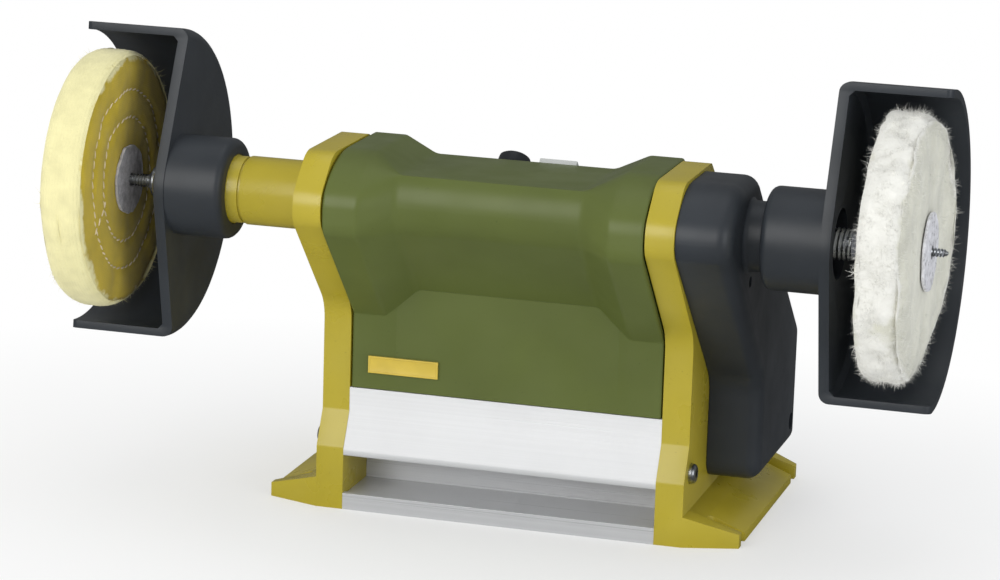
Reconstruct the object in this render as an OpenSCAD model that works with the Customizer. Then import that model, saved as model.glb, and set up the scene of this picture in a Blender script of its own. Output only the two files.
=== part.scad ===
// Bench polishing lathe with two guarded buffing wheels on one long spindle.
// X runs along the spindle, Y points to the back, Z is up.
// The origin is the centre of the four bench slots on the underside.

/* [Base] */
// Distance between the inner faces of the two end plates
plate_gap = 126; // [110:1:160]
// Thickness of each end plate
plate_t = 11; // [9:0.5:14]
// Depth of the end plates from front to back
base_depth = 121; // [115:1:135]
// Wall of the aluminium base profile
profile_wall = 2.5; // [2:0.1:3.5]
// Height of the tray floor above the bench
tray_floor = 5.5; // [4:0.25:7]
// Depth of the open tray in the base profile
tray_depth = 30; // [22:1:34]
// Height of the open tray above the bench
tray_top = 22; // [18:0.5:24]

/* [Feet] */
// How far each foot stands out beyond its end plate
foot_reach = 21; // [18:0.5:26]
// Height of a foot where it leaves the plate
foot_root_h = 12; // [9:0.5:16]
// Height of the foot pad at its outer edge
foot_edge_h = 3.5; // [2.5:0.25:5]
// Height of the end lips of a foot at its outer edge
foot_lip_h = 5.5; // [5:0.25:7]
// How far the foot ends are swept in at the outer edge
foot_sweep = 7; // [3:0.5:9]
// Width of a bench slot
slot_w = 6.4; // [5:0.1:7]
// Depth of a bench slot from the outer edge of the foot
slot_depth = 14.5; // [10:0.5:17]
// Distance from the end of the plate to the middle of its bench slot
slot_inset = 14.2; // [13.8:0.1:16]

/* [End plate outline] */
// Height of the vertical toe at the front
toe_h = 25; // [20:0.5:30]
// Height where the leg becomes vertical
shin_h = 38.5; // [34:0.5:42]
// How far the leg stands back from the toe
leg_set = 6.5; // [4:0.5:9]
// Height of the knee, where the leg turns forward to the head
knee_h = 81; // [76:0.5:86]
// Distance from the spindle axis to the front of the head
head_front = 36; // [32:0.5:40]
// Distance from the spindle axis to the top of the head
head_top = 22; // [20:0.5:26]
// Height of the flat front of the head
head_flat = 10; // [8:0.5:14]
// Length of the bevel between the front and the top of the head
head_bevel = 14.5; // [11:0.5:17]
// Length of the flat top behind the spindle axis
crest_back = 22; // [18:0.5:26]
// Height of the upright back wall of the housing
back_wall_h = 22; // [16:1:30]

/* [Housing] */
// Wall of the housing shell
housing_wall = 2.5; // [2:0.1:3]
// How far the ridge of the housing lies behind that of the end plates
ridge_set = 4.5; // [0:0.5:8]
// How far the lower front slope of the housing hangs below that of the end plates
slope_drop = 3; // [0:0.5:5]
// How far the waist of the housing is sunk below its collars
waist_sink = 6; // [4:0.5:8]
// Width of each collar
collar_w = 14; // [10:0.5:18]
// Width of the slope between a collar and the waist
collar_slope = 13; // [9:0.5:16]
// Height of the lower edge of the housing
housing_base_h = 48; // [46:0.5:52]
// Length of the bare badge plate
badge_l = 28.4; // [20:0.5:34]
// Height of the bare badge plate
badge_h = 6.8; // [5:0.2:9]
// Thickness of the badge plate
badge_t = 1; // [0.6:0.1:1.4]

/* [Spindle] */
// Height of the spindle axis above the bench
spindle_height = 124; // [118:0.5:130]
// Distance from the front of the base to the spindle axis
spindle_set = 2; // [0:0.5:6]
// Diameter of the spindle shaft
shaft_d = 10; // [9:0.1:10.5]
// Outer diameter of the spindle bearings
bearing_d = 22; // [21.4:0.1:23]
// Width of the spindle bearings
bearing_w = 6; // [5.5:0.25:7]
// Diameter of the threaded foot of each taper point
point_foot_d = 12.6; // [11.5:0.1:14]
// Length of the threaded foot of each taper point
point_foot_l = 15; // [13:0.5:17]
// Diameter of the taper point at its thick end
point_d = 5; // [4:0.1:6]
// Diameter of the taper point at its tip
point_tip_d = 2.6; // [2:0.1:3.5]
// Running clearance on the radius between parts that turn on each other
running_gap = 0.08; // [0.05:0.01:0.1]

/* [Arms and guards] */
// Distance from the middle of the base to the hub of the left guard
left_arm = 109.4; // [106:0.2:116]
// How much further the left tube reaches into its hub than the right neck into its own
left_reach = 1.4; // [0:0.1:3]
// Distance from the middle of the base to the hub of the right guard
right_arm = 102; // [100:0.2:108]
// Diameter of the tube and of the neck that carry the guards
tube_d = 26.8; // [26.4:0.1:28]
// How far the tube and the neck reach into the guard hubs
tube_grip = 14; // [10:0.5:16]
// Length of a guard hub
hub_l = 23; // [20:0.5:26]
// Outer diameter of a guard hub
hub_d = 39.4; // [36:0.2:42]
// Free space between a wheel's rim and the band of its guard
guard_room = 7.5; // [6:0.25:12]
// Depth of a guard from its wall to its open rim
guard_depth = 42.5; // [38:0.5:46]
// Thickness of a guard's wall
guard_wall = 4; // [3:0.25:5]
// Thickness of a guard's curved band
guard_band = 3; // [2:0.25:4]
// How far the front edges of a guard stand in front of the spindle axis
guard_front = 2; // [0:0.5:6]
// Tilt of the left guard as it stands in the clamp
left_tilt = 7; // [0:1:15]
// Tilt of the right guard as it stands in the clamp
right_tilt = 5; // [0:1:15]

/* [Wheels] */
// Diameter of the buffing wheels
wheel_d = 100; // [90:1:106]
// Width of the buffing wheels
wheel_w = 17; // [12:0.5:18]
// Distance from a guard hub's end to the near face of its wheel
wheel_stand = 43.2; // [41:0.2:45]
// Diameter of the centre discs of the left wheel
left_disc_d = 26.6; // [22:0.2:30]
// Diameter of the centre discs of the right wheel
right_disc_d = 29.8; // [24:0.2:34]
// Thickness of a centre disc
disc_t = 1.4; // [1:0.1:2]

/* [Belt drive] */
// How far the belt cover stands out from the right end plate
cover_reach = 21; // [20.5:0.25:23]
// Wall of the belt cover
cover_wall = 2.5; // [2:0.1:3]
// Running diameter of the spindle pulley
spindle_pulley_d = 31; // [28:0.5:32]
// Running diameter of the motor pulley
motor_pulley_d = 15.5; // [14:0.5:18]
// Width of the drive belt
belt_w = 8; // [6:0.5:9]
// Thickness of the drive belt
belt_t = 1.5; // [1.2:0.1:1.8]

/* [Motor] */
// Diameter of the motor can
motor_d = 58; // [52:1:60]
// Length of the motor with its end caps
motor_l = 94; // [90:1:100]
// Place of the motor axis in its bay, as a share of the bay's depth
motor_share = 0.46; // [0.45:0.01:0.5]
// Height of the motor axis above the bench
motor_height = 42; // [40:0.5:44]
// Diameter of the motor shaft
motor_shaft_d = 8; // [6:0.5:8.5]

/* [Controls] */
// Diameter of the speed knob
knob_d = 14; // [12:0.5:17]
// Height of the speed knob
knob_h = 8; // [7:0.5:10]
// Place of the speed knob along the housing, from its middle
knob_x = -8.5; // [-12:0.5:-4]
// Place of the switch along the housing, from its middle
switch_x = 12.5; // [11:0.5:18]
// Width of the switch frame
switch_w = 15; // [13:0.5:17]
// Length of the switch frame down the slope
switch_l = 21; // [19:0.5:25]
// Half of the swing of the switch rocker, in degrees
rocker_half = 8; // [5:0.5:9]

/* [Fasteners] */
// Shank diameter of the screws that hold the end plates
plate_screw_d = 4; // [3:0.1:4.5]
// Shank diameter of the screws that hold the covers
cover_screw_d = 3; // [2.5:0.1:3.5]
// Length of a plate screw under its head
plate_screw_l = 22; // [18:1:26]
// Cord hole of the gland
gland_bore_d = 6.6; // [5:0.2:8]
// Diameter of the gland's collar
gland_d = 15; // [13:0.5:17]

/* [Hidden] */
$fn = 48;

// Clearance between a screw and the hole that it passes through
screw_gap = 0.2;
// Clearance between fixed parts that fit one in the other
fit_gap = 0.05;
// Clearance between parts that move past each other
move_gap = 0.3;
// Overshoot of a cut past the face that it opens
cut = 1;
// Extra wall behind the tray
nose_lip = 0.5;
// Space behind the floor for the rear cover
panel_room = 3;
// Steps in each rounded corner of an outline
corner_steps = 6;

base_front = -base_depth / 2;
inner_x = plate_gap / 2;
outer_x = inner_x + plate_t;
foot_x = outer_x + foot_reach;
spindle_y = base_front + spindle_set;
spindle_z = spindle_height;
nose_back = base_front + tray_depth + profile_wall + nose_lip;
floor_back = base_front + base_depth - panel_room;
motor_y = nose_back + motor_share * (floor_back - nose_back);
motor_z = motor_height;
cover_x = outer_x + cover_reach;

// Colours
paint_yellow = "#ad9f35";
paint_green = "#5f6a3d";
black_plastic = "#3a3f45";
bare_aluminium = "#d3d3d3";
bright_steel = "#b9bcc0";

// Unit vector along a 2D vector
function unit(v) = v / norm(v);
// Index that wraps round a list
function wrap(i, n) = (i + n) % n;
// Angle turned to the range from -180 to 180
function turn(a) = a > 180 ? a - 360 : (a < -180 ? a + 360 : a);

// Points of an arc that rounds the corner q between p and s with radius r
function corner(p, q, s, r) =
    let (
        u = unit(p - q),
        v = unit(s - q),
        half = acos(u * v) / 2,
        centre = q + unit(u + v) * r / sin(half),
        start = q + u * r / tan(half) - centre,
        end = q + v * r / tan(half) - centre,
        a0 = atan2(start[1], start[0]),
        sweep = turn(atan2(end[1], end[0]) - a0)
    )
    [for (k = [0 : corner_steps]) centre + r * [cos(a0 + sweep * k / corner_steps),
                                                sin(a0 + sweep * k / corner_steps)]];

// Outline with each corner rounded by its own radius, or sharp where that is zero
function rounded(pts, radii) =
    let (n = len(pts))
    [for (i = [0 : n - 1])
        for (p = radii[i] > 0
                ? corner(pts[wrap(i - 1, n)], pts[i], pts[wrap(i + 1, n)], radii[i])
                : [pts[i]]) p];

// Meeting point of two lines, each moved to its left by its own distance
function meet(a, b, d_ab, c, d, d_cd) =
    let (
        u = unit(b - a),
        v = unit(d - c),
        p = a + d_ab * [-u[1], u[0]],
        q = c + d_cd * [-v[1], v[0]],
        det = u[0] * v[1] - u[1] * v[0],
        t = ((q[0] - p[0]) * v[1] - (q[1] - p[1]) * v[0]) / det
    )
    p + t * u;

// Outline with edge i moved inwards by sinks[i]
function sunk(pts, sinks) =
    let (n = len(pts))
    [for (i = [0 : n - 1])
        meet(pts[wrap(i - 1, n)], pts[i], sinks[wrap(i - 1, n)],
             pts[i], pts[wrap(i + 1, n)], sinks[i])];

// Outline in the Y Z plane, pulled from x0 to x1
module along_x(x0, x1) {
    translate([x0, 0, 0])
        rotate([90, 0, 90])
            linear_extrude(x1 - x0)
                children();
}

// Local frame with its z along X, its x to the back and its y up
module axis_at(x, y, z) {
    translate([x, y, z])
        rotate([90, 0, 90])
            children();
}

module on_spindle(x) {
    axis_at(x, spindle_y, spindle_z) children();
}

module on_motor(x) {
    axis_at(x, motor_y, motor_z) children();
}

// Mirrored for the left side, plain for the right
module side(s) {
    scale([1, 1, 1])
        mirror([s < 0 ? 1 : 0, 0, 0])
            children();
}

// Tube along z
module ring(outer, inner, h) {
    difference() {
        cylinder(r = outer, h = h);
        translate([0, 0, -cut])
            cylinder(r = inner, h = h + 2 * cut);
    }
}

// Outline of the head, leg and back that the end plates and the housing share
leg_y = base_front + leg_set;
back_h = housing_base_h + back_wall_h;
back_y = base_front + base_depth;
chin = [spindle_y - head_front, spindle_z - head_top + head_bevel + 0.5 - head_flat];
nose = [spindle_y - head_front, spindle_z + head_top - head_bevel];
brow = [spindle_y - head_front + head_bevel, spindle_z + head_top];
crest = [spindle_y + crest_back, spindle_z + head_top];
knee = [leg_y, knee_h];
rump = [back_y, back_h];

chin_point = [nose[0], nose[1] - head_flat];

plate_points = [
    [base_front, 0], [back_y, 0], rump, crest, brow, nose, chin_point, knee,
    [leg_y, shin_h], [base_front, toe_h]
];
plate_radii = [0, 0, 12, 5, 12, 11, 9, 16, 3, 3];

ridge = crest + [ridge_set, 0];
housing_points = [
    [leg_y, housing_base_h], [back_y, housing_base_h], rump, ridge, brow, nose,
    chin_point - [0, slope_drop], knee - [0, slope_drop]
];
collar_nose_r = 11;
collar_brow_r = head_bevel * sqrt(2) / tan(22.5) - collar_nose_r - 2;
housing_radii = [0, 0, 12, 2, collar_brow_r, collar_nose_r, 9, 0];
waist_radii = [0, 0, 12, 2, 1, 12, 12, 0];
waist_points = sunk(housing_points, [0, 0, waist_sink, waist_sink, waist_sink, waist_sink,
                                     waist_sink, 0]);
waist_outline = rounded(waist_points, waist_radii);
collar_outline = rounded(housing_points, housing_radii);
waist_x = inner_x - collar_w - collar_slope;
collar_x = inner_x - collar_w;

// Down the sloping back of the waist: unit vectors along it and out of it
waist_crest = waist_points[3];
down_slope = unit(waist_points[2] - waist_points[3]);
off_slope = [-down_slope[1], down_slope[0]];
slope_tilt = atan2(off_slope[1], off_slope[0]) - 90;
knob_run = 13;
switch_run = 1 + switch_l / 2;

// Local frame on the back slope: z out of it, y up along it
module on_slope(x, run) {
    translate([x, waist_crest[0] + run * down_slope[0], waist_crest[1] + run * down_slope[1]])
        rotate([slope_tilt, 0, 0])
            children();
}

// Foot: a wedge with two raised end lips and two bench slots open to the outside
slot_centre_x = foot_x - slot_depth / 2;
slot_front_y = base_front + slot_inset;
slot_back_y = back_y - slot_inset;
lip_t = slot_inset - slot_w / 2;

module foot_wedge(y0, y1, edge_h) {
    translate([0, y1, 0])
        rotate([90, 0, 0])
            linear_extrude(y1 - y0)
                polygon([[inner_x + 1, 0], [foot_x, 0], [foot_x, edge_h],
                         [outer_x, foot_root_h], [inner_x + 1, foot_root_h]]);
}

module foot_slot(y) {
    translate([foot_x - slot_depth + slot_w / 2, y, -cut]) {
        cylinder(d = slot_w, h = foot_root_h + 2 * cut);
        translate([0, -slot_w / 2, 0])
            cube([slot_depth, slot_w, foot_root_h + 2 * cut]);
    }
}

module foot_end_cut(y, out) {
    translate([0, 0, -cut])
        linear_extrude(foot_root_h + 2 * cut)
            polygon([[outer_x, y], [foot_x + cut, y - out * foot_sweep * (1 + cut / foot_reach)],
                     [foot_x + cut, y + out], [outer_x, y + out]]);
}

module foot() {
    difference() {
        union() {
            foot_wedge(base_front, back_y, foot_edge_h);
            foot_wedge(base_front, base_front + lip_t, foot_lip_h);
            foot_wedge(back_y - lip_t, back_y, foot_lip_h);
        }
        foot_slot(slot_front_y);
        foot_slot(slot_back_y);
        foot_end_cut(base_front, -1);
        foot_end_cut(back_y, 1);
    }
}

// Places of the plate screws: two in the base profile and one in the housing
profile_screws = [
    [base_front + 10.5, tray_top + 4.8],
    [floor_back - profile_wall - 3, foot_root_h + 6.5]
];
housing_screw = [spindle_y + 15, spindle_z + 10];
screw_places = concat(profile_screws, [housing_screw]);
screw_head_d = 2 * plate_screw_d;
screw_head_h = 2.4;
screw_boss_r = plate_screw_d / 2 + 2.2;

module plate_screw_holes() {
    for (p = screw_places)
        axis_at(inner_x - cut, p[0], p[1])
            cylinder(d = plate_screw_d + 2 * screw_gap, h = plate_t + 2 * cut);
}

module plate_blank() {
    along_x(inner_x, outer_x)
        polygon(rounded(plate_points, plate_radii));
    foot();
}

bearing_r = bearing_d / 2;
bearing_lip_r = bearing_r - 1.6;
left_tube_end = left_arm + left_reach + tube_grip;
left_bearing_x = left_tube_end - 0.8 - bearing_w;
right_neck_end = right_arm + tube_grip;
right_bearing_x = inner_x + 0.8;
ring_x = left_arm - 5.6;
ring_d = tube_d - 0.8;
groove_d = tube_d - 2.2;
groove_w = 1.2;

module left_end_plate() {
    color(paint_yellow)
        side(-1)
            difference() {
                union() {
                    plate_blank();
                    on_spindle(outer_x - cut)
                        cylinder(d = tube_d, h = ring_x - outer_x + cut);
                    on_spindle(ring_x - cut)
                        cylinder(d = ring_d, h = left_arm - ring_x + 2 * cut);
                    on_spindle(left_arm)
                        cylinder(d = tube_d, h = left_reach + tube_grip);
                }
                on_spindle(ring_x)
                    ring(tube_d, groove_d / 2, groove_w);
                on_spindle(inner_x - cut)
                    cylinder(r = bearing_lip_r, h = left_tube_end - inner_x + 2 * cut);
                on_spindle(left_bearing_x)
                    cylinder(r = bearing_r + fit_gap, h = left_tube_end - left_bearing_x + cut);
                plate_screw_holes();
            }
}

motor_screw_r = motor_d / 2 - 10;
motor_screw_d = 4;
motor_screw_angles = [45, 135, 225, 315];
motor_hole_r = 9;

// Places of the belt cover's screws, from the spindle axis
cover_screw_places = [[spindle_y + 43, spindle_z - 17], [motor_y + 25, motor_z - 14]];
cover_screw_l = 16;
cover_screw_bite = 8;

module right_end_plate() {
    color(paint_yellow)
        difference() {
            plate_blank();
            on_spindle(inner_x - cut)
                cylinder(r = bearing_lip_r, h = plate_t + 2 * cut);
            on_spindle(right_bearing_x)
                cylinder(r = bearing_r + fit_gap, h = plate_t + cut);
            on_motor(inner_x - cut)
                cylinder(r = motor_hole_r, h = plate_t + 2 * cut);
            for (a = motor_screw_angles)
                on_motor(inner_x - cut)
                    rotate([0, 0, a])
                        translate([motor_screw_r, 0, 0])
                            cylinder(d = motor_screw_d + 2 * screw_gap, h = plate_t + 2 * cut);
            for (p = cover_screw_places)
                axis_at(outer_x - cover_screw_bite, p[0], p[1])
                    cylinder(d = cover_screw_d + 2 * fit_gap, h = cover_screw_bite + cut);
            plate_screw_holes();
        }
}

// Extruded base with the open tray, a hollow nose above it and a floor under the motor
tray_back = base_front + tray_depth;
floor_t = 3;
floor_lip_h = foot_root_h + 11;
strip_t = 3;
strip_h = tray_floor + 1;
band_h = shin_h - 0.3;
nose_edge_h = tray_top + 2.5;

profile_points = [
    [base_front, 0], [floor_back, 0], [floor_back, floor_lip_h],
    [floor_back - profile_wall, floor_lip_h], [floor_back - profile_wall, floor_t],
    [nose_back, floor_t], [nose_back, housing_base_h], [leg_y, housing_base_h],
    [leg_y, band_h], [base_front, nose_edge_h], [base_front, tray_top],
    [tray_back, tray_top], [tray_back, tray_floor], [base_front + strip_t, tray_floor],
    [base_front + strip_t, strip_h], [base_front, strip_h]
];
nose_tip = meet([leg_y, band_h], [base_front, nose_edge_h], 0,
                [base_front, tray_top], [nose_back, tray_top], 0);
nose_points = [
    nose_tip, [nose_back, tray_top], [nose_back, housing_base_h],
    [leg_y, housing_base_h], [leg_y, band_h]
];
nose_hollow = sunk(nose_points, [for (p = nose_points) profile_wall]);

module base_profile() {
    color(bare_aluminium)
        difference() {
            union() {
                difference() {
                    along_x(-inner_x, inner_x)
                        polygon(profile_points);
                    along_x(-inner_x - cut, inner_x + cut)
                        polygon(nose_hollow);
                }
                for (p = profile_screws)
                    axis_at(-inner_x, p[0], p[1])
                        cylinder(r = screw_boss_r, h = plate_gap);
            }
            for (p = profile_screws)
                axis_at(-inner_x - cut, p[0], p[1])
                    cylinder(d = plate_screw_d + 2 * fit_gap, h = plate_gap + 2 * cut);
            for (p = panel_screws)
                translate([p[0], floor_back - profile_wall - cut, p[1]])
                    rotate([-90, 0, 0])
                        cylinder(d = cover_screw_d + 2 * fit_gap, h = profile_wall + 2 * cut);
            translate([gland_x, floor_back - gland_nut_t - cut, gland_z])
                rotate([-90, 0, 0])
                    cylinder(d = gland_d + 5, h = gland_nut_t + 2 * cut);
        }
}

// Housing shell: two collars, a sunk waist and a slope between them
shell_sinks = [0, housing_wall, housing_wall, housing_wall, housing_wall, housing_wall,
               housing_wall, housing_wall];
waist_hollow = sunk(waist_points, shell_sinks);
collar_hollow = sunk(housing_points, shell_sinks);
boss_l = collar_w - 1;
board_post_r = 2.6;
board_post_l = 5;
board_x0 = -46;
board_l = 78;
board_z0 = housing_base_h + 6;
board_h = 26;
board_t = 1.6;
board_screw_d = 2;
board_y = leg_y + housing_wall + board_post_l;
board_posts = [for (x = [board_x0 + 4, board_x0 + board_l - 4])
                   for (z = [board_z0 + 4, board_z0 + board_h - 4]) [x, z]];

// Trough that sinks the face between outline points i and i + 1 to the waist
module waist_trough(i) {
    p = housing_points[i];
    u = unit(housing_points[i + 1] - p);
    reach = norm(housing_points[i + 1] - p) + 40;
    translate([0, p[0] - 20 * u[0], p[1] - 20 * u[1]])
        rotate([atan2(-u[0], u[1]), 0, 0])
            linear_extrude(reach)
                polygon([[-collar_x, 0], [-waist_x, -waist_sink], [waist_x, -waist_sink],
                         [collar_x, 0], [collar_x, 12], [-collar_x, 12]]);
}

// Cut that rounds corner i of the waist
module waist_corner(i) {
    p = waist_points[i - 1];
    q = waist_points[i];
    s = waist_points[i + 1];
    out = unit(unit(q - p) + unit(q - s));
    along_x(-waist_x, waist_x)
        polygon(concat(corner(p, q, s, waist_radii[i]), [q + 10 * out]));
}

module hollow_below(pts, brow_r = 0) {
    polygon(rounded(concat([[leg_y + housing_wall, housing_base_h - cut],
                            [back_y - housing_wall, housing_base_h - cut]],
                           [for (i = [2 : 7]) pts[i]]),
                    [0, 0, 0, 0, brow_r, 0, 0, 0]));
}

module housing_solid() {
    difference() {
        along_x(-inner_x, inner_x)
            polygon(collar_outline);
        for (i = [2 : 5])
            waist_trough(i);
        intersection() {
            waist_trough(6);
            translate([-inner_x, leg_y - 60, housing_base_h])
                cube([plate_gap, 60, 90]);
        }
        for (i = [2 : 6])
            waist_corner(i);
    }
}

module housing_shell() {
    color(paint_green)
        difference() {
            union() {
                difference() {
                    housing_solid();
                    along_x(-collar_x, collar_x)
                        hollow_below(waist_hollow);
                    for (s = [-1, 1])
                        side(s)
                            along_x(collar_x - cut, inner_x + cut)
                                hollow_below(collar_hollow, collar_brow_r - housing_wall);
                }
                for (s = [-1, 1])
                    side(s)
                        axis_at(inner_x - boss_l, housing_screw[0], housing_screw[1])
                            housing_boss();
                for (p = board_posts)
                    translate([p[0], leg_y + housing_wall - 0.5, p[1]])
                        rotate([-90, 0, 0])
                            cylinder(r = board_post_r, h = board_post_l + 0.5);
            }
            for (s = [-1, 1])
                side(s)
                    axis_at(inner_x - boss_l - cut, housing_screw[0], housing_screw[1])
                        cylinder(d = plate_screw_d + 2 * fit_gap, h = boss_l + 2 * cut);
            for (p = board_posts)
                translate([p[0], leg_y + housing_wall, p[1]])
                    rotate([-90, 0, 0])
                        cylinder(d = board_screw_d + 2 * fit_gap, h = board_post_l + cut);
            on_slope(knob_x, knob_run)
                translate([0, 0, -3 * housing_wall])
                    cylinder(r = pot_neck_r + screw_gap, h = 5 * housing_wall);
            on_slope(switch_x, switch_run)
                translate([-switch_w / 2 + 1.6, -switch_l / 2 + 1.6, -3 * housing_wall])
                    cube([switch_w - 3.2, switch_l - 3.2, 5 * housing_wall]);
        }
}

// Boss for the upper plate screw, hung from the top wall of the housing by a web
module housing_boss() {
    web_top = crest[1] - housing_wall / 2 - housing_screw[1];
    cylinder(r = screw_boss_r, h = boss_l);
    translate([-2, 0, 0])
        cube([4, web_top, boss_l]);
}

// Lower back panel with air slots and the hole for the gland
panel_t = 2;
panel_z0 = 6;
gland_x = -40;
gland_nut_t = 4;
gland_z = floor_lip_h + 0.44 * (housing_base_h - floor_lip_h);
vent_x = 8;
vent_l = 22;
tongue_t = 2;
tongue_h = 6;
tongue_low = 5;
vent_count = 3;
vent_low = floor_lip_h + 2;
vent_pitch = (housing_base_h - tongue_low - vent_low) / vent_count;
vent_w = vent_pitch / 2;
panel_screws = [for (x = [-inner_x + 6, inner_x - 6]) [x, panel_z0 + 5]];

module rear_cover() {
    color(black_plastic)
        difference() {
            union() {
                translate([-inner_x, floor_back, panel_z0])
                    cube([plate_gap, panel_t, housing_base_h - panel_z0]);
                translate([gland_x + gland_d, floor_back + fit_gap - tongue_t,
                           housing_base_h - tongue_low])
                    cube([inner_x - 2 - gland_x - gland_d, tongue_t, tongue_low + tongue_h]);
            }
            for (k = [0 : vent_count - 1])
                translate([vent_x, floor_back - cut, vent_low + k * vent_pitch])
                    cube([vent_l, panel_t + 2 * cut, vent_w]);
            translate([gland_x, floor_back - cut, gland_z])
                rotate([-90, 0, 0])
                    cylinder(d = gland_d - 3, h = panel_t + 2 * cut);
            for (p = panel_screws)
                translate([p[0], floor_back - cut, p[1]])
                    rotate([-90, 0, 0])
                        cylinder(d = cover_screw_d + 2 * screw_gap, h = panel_t + 2 * cut);
        }
}

module rear_cover_screws() {
    color(bright_steel)
        for (p = panel_screws)
            translate([p[0], floor_back + panel_t, p[1]])
                rotate([-90, 0, 0])
                    pan_screw(cover_screw_d, panel_t + 2, 1.6);
}

// Pan head screw: the seat of its head is at z = 0 and its shank points down
module pan_screw(d, shank, head_h) {
    difference() {
        union() {
            cylinder(d1 = 2 * d, d2 = 1.5 * d, h = head_h);
            translate([0, 0, -shank])
                cylinder(d = d, h = shank + head_h / 2);
        }
        translate([0, 0, head_h / 2])
            cylinder(d = 0.8 * d, h = head_h, $fn = 6);
    }
}

module cord_gland() {
    gland_reach = 14;
    color("#2b2e31")
        translate([gland_x, floor_back + panel_t, gland_z])
            rotate([-90, 0, 0])
                difference() {
                    union() {
                        cylinder(d = gland_d, h = 4);
                        translate([0, 0, 4])
                            cylinder(d1 = gland_d - 2, d2 = gland_bore_d + 3.4, h = gland_reach - 4);
                        translate([0, 0, -panel_t - 7])
                            cylinder(d = gland_d - 3 - 2 * fit_gap, h = panel_t + 7);
                    }
                    translate([0, 0, -panel_t - 7 - cut])
                        cylinder(d = gland_bore_d, h = gland_reach + panel_t + 7 + 2 * cut);
                }
}

module gland_nut() {
    color("#2b2e31")
        translate([gland_x, floor_back - gland_nut_t, gland_z])
            rotate([-90, 0, 0])
                difference() {
                    cylinder(d = gland_d + 2, h = gland_nut_t, $fn = 6);
                    translate([0, 0, -cut])
                        cylinder(d = gland_d - 3 + 2 * fit_gap, h = gland_nut_t + 2 * cut);
                }
}

module badge_plate() {
    badge_x0 = -inner_x + 7.6;
    badge_z0 = housing_base_h + 6.8;
    border = 0.7;
    color("#d9b93c")
        difference() {
            translate([badge_x0, leg_y - badge_t, badge_z0])
                cube([badge_l, badge_t, badge_h]);
            translate([badge_x0 + border, leg_y - badge_t - cut, badge_z0 + border])
                cube([badge_l - 2 * border, cut + 0.3, badge_h - 2 * border]);
        }
}

// Belt cover: a shell round both pulleys, with the neck that carries the right guard
cover_inset = 1;
cover_foot_z = 17.5;
cover_front_y = motor_y - 35;
cover_back_y = motor_y + 35;
cover_points = [
    [cover_front_y, cover_foot_z], [cover_back_y, cover_foot_z], [cover_back_y, back_h - 3],
    [crest[0] - 8, crest[1] - cover_inset], [brow[0] + 0.5, brow[1] - cover_inset],
    [nose[0] + cover_inset, nose[1]], [chin_point[0] + cover_inset, chin_point[1]],
    [cover_front_y, motor_z + 16]
];
cover_radii = [8, 6, 8, 14, 27, 13, 10, 14];
cover_layers = [[0, 0], [2.4, 0.6], [4.6, 2.2], [6, 4.6]];
cover_round = 6;

module cover_slab(sink, x0, x1) {
    along_x(x0, x1)
        polygon(rounded(sunk(cover_points, [for (p = cover_points) sink]),
                        [for (r = cover_radii) max(r - sink, 1)]));
}

module belt_cover() {
    color(black_plastic)
        difference() {
            union() {
                difference() {
                    union() {
                        cover_slab(0, outer_x, cover_x - cover_round);
                        cover_slab(0.8, cover_x - cover_round, cover_x - 3.6);
                        cover_slab(2.4, cover_x - 3.6, cover_x - 1.6);
                        cover_slab(4.4, cover_x - 1.6, cover_x);
                        on_spindle(cover_x - cut)
                            cylinder(d = tube_d, h = right_neck_end - cover_x + cut);
                    }
                    cover_slab(cover_wall, outer_x - cut, cover_x - cover_round);
                    cover_slab(cover_wall + 2, cover_x - cover_round - cut, cover_x - cover_wall);
                }
                for (p = cover_screw_places)
                    axis_at(outer_x, p[0], p[1])
                        cylinder(r = 4.4, h = cover_reach - 2);
            }
            on_spindle(outer_x)
                cylinder(r = shaft_d / 2 + 2, h = right_neck_end - outer_x + cut);
            for (p = cover_screw_places) {
                axis_at(outer_x - cut, p[0], p[1])
                    cylinder(d = cover_screw_d + 2 * screw_gap, h = cover_reach + cut);
                axis_at(outer_x + cover_screw_l - cover_screw_bite, p[0], p[1])
                    cylinder(d = 2 * cover_screw_d + 1, h = cover_reach);
            }
            axis_at(cover_x - 1.5, spindle_y + 3.5, spindle_z - 18.6)
                cylinder(d = 4, h = 1.5 + cut);
        }
}

module cover_screws() {
    color(bright_steel)
        for (p = cover_screw_places)
            axis_at(outer_x + cover_screw_l - cover_screw_bite, p[0], p[1])
                pan_screw(cover_screw_d, cover_screw_l - 1, 2);
}

module plate_screws() {
    color(bright_steel)
        for (s = [-1, 1])
            side(s)
                for (p = screw_places)
                    axis_at(outer_x, p[0], p[1])
                        pan_screw(plate_screw_d, plate_screw_l, screw_head_h);
}

// Ball bearings
ball_r = 1.55;
ball_track_r = (bearing_r + shaft_d / 2) / 2;
ball_count = 8;
race_gap = 0.06;
inner_race_r = ball_track_r - 0.9;
outer_race_r = ball_track_r + 0.9;
bearing_places = [-left_bearing_x - bearing_w, right_bearing_x];

module ball_groove() {
    translate([0, 0, bearing_w / 2])
        rotate_extrude()
            translate([ball_track_r, 0])
                circle(r = ball_r + race_gap);
}

module bearing_outer_rings() {
    color(bright_steel)
        for (x = bearing_places)
            on_spindle(x)
                difference() {
                    ring(bearing_r, outer_race_r, bearing_w);
                    ball_groove();
                }
}

module bearing_inner_rings() {
    color(bright_steel)
        for (x = bearing_places)
            on_spindle(x)
                difference() {
                    ring(inner_race_r, shaft_d / 2 + fit_gap, bearing_w);
                    ball_groove();
                }
}

module bearing_balls() {
    color(bright_steel)
        for (x = bearing_places)
            on_spindle(x + bearing_w / 2)
                for (k = [0 : ball_count - 1])
                    rotate([0, 0, k * 360 / ball_count])
                        translate([ball_track_r, 0, 0])
                            sphere(r = ball_r, $fn = 24);
}

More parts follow.
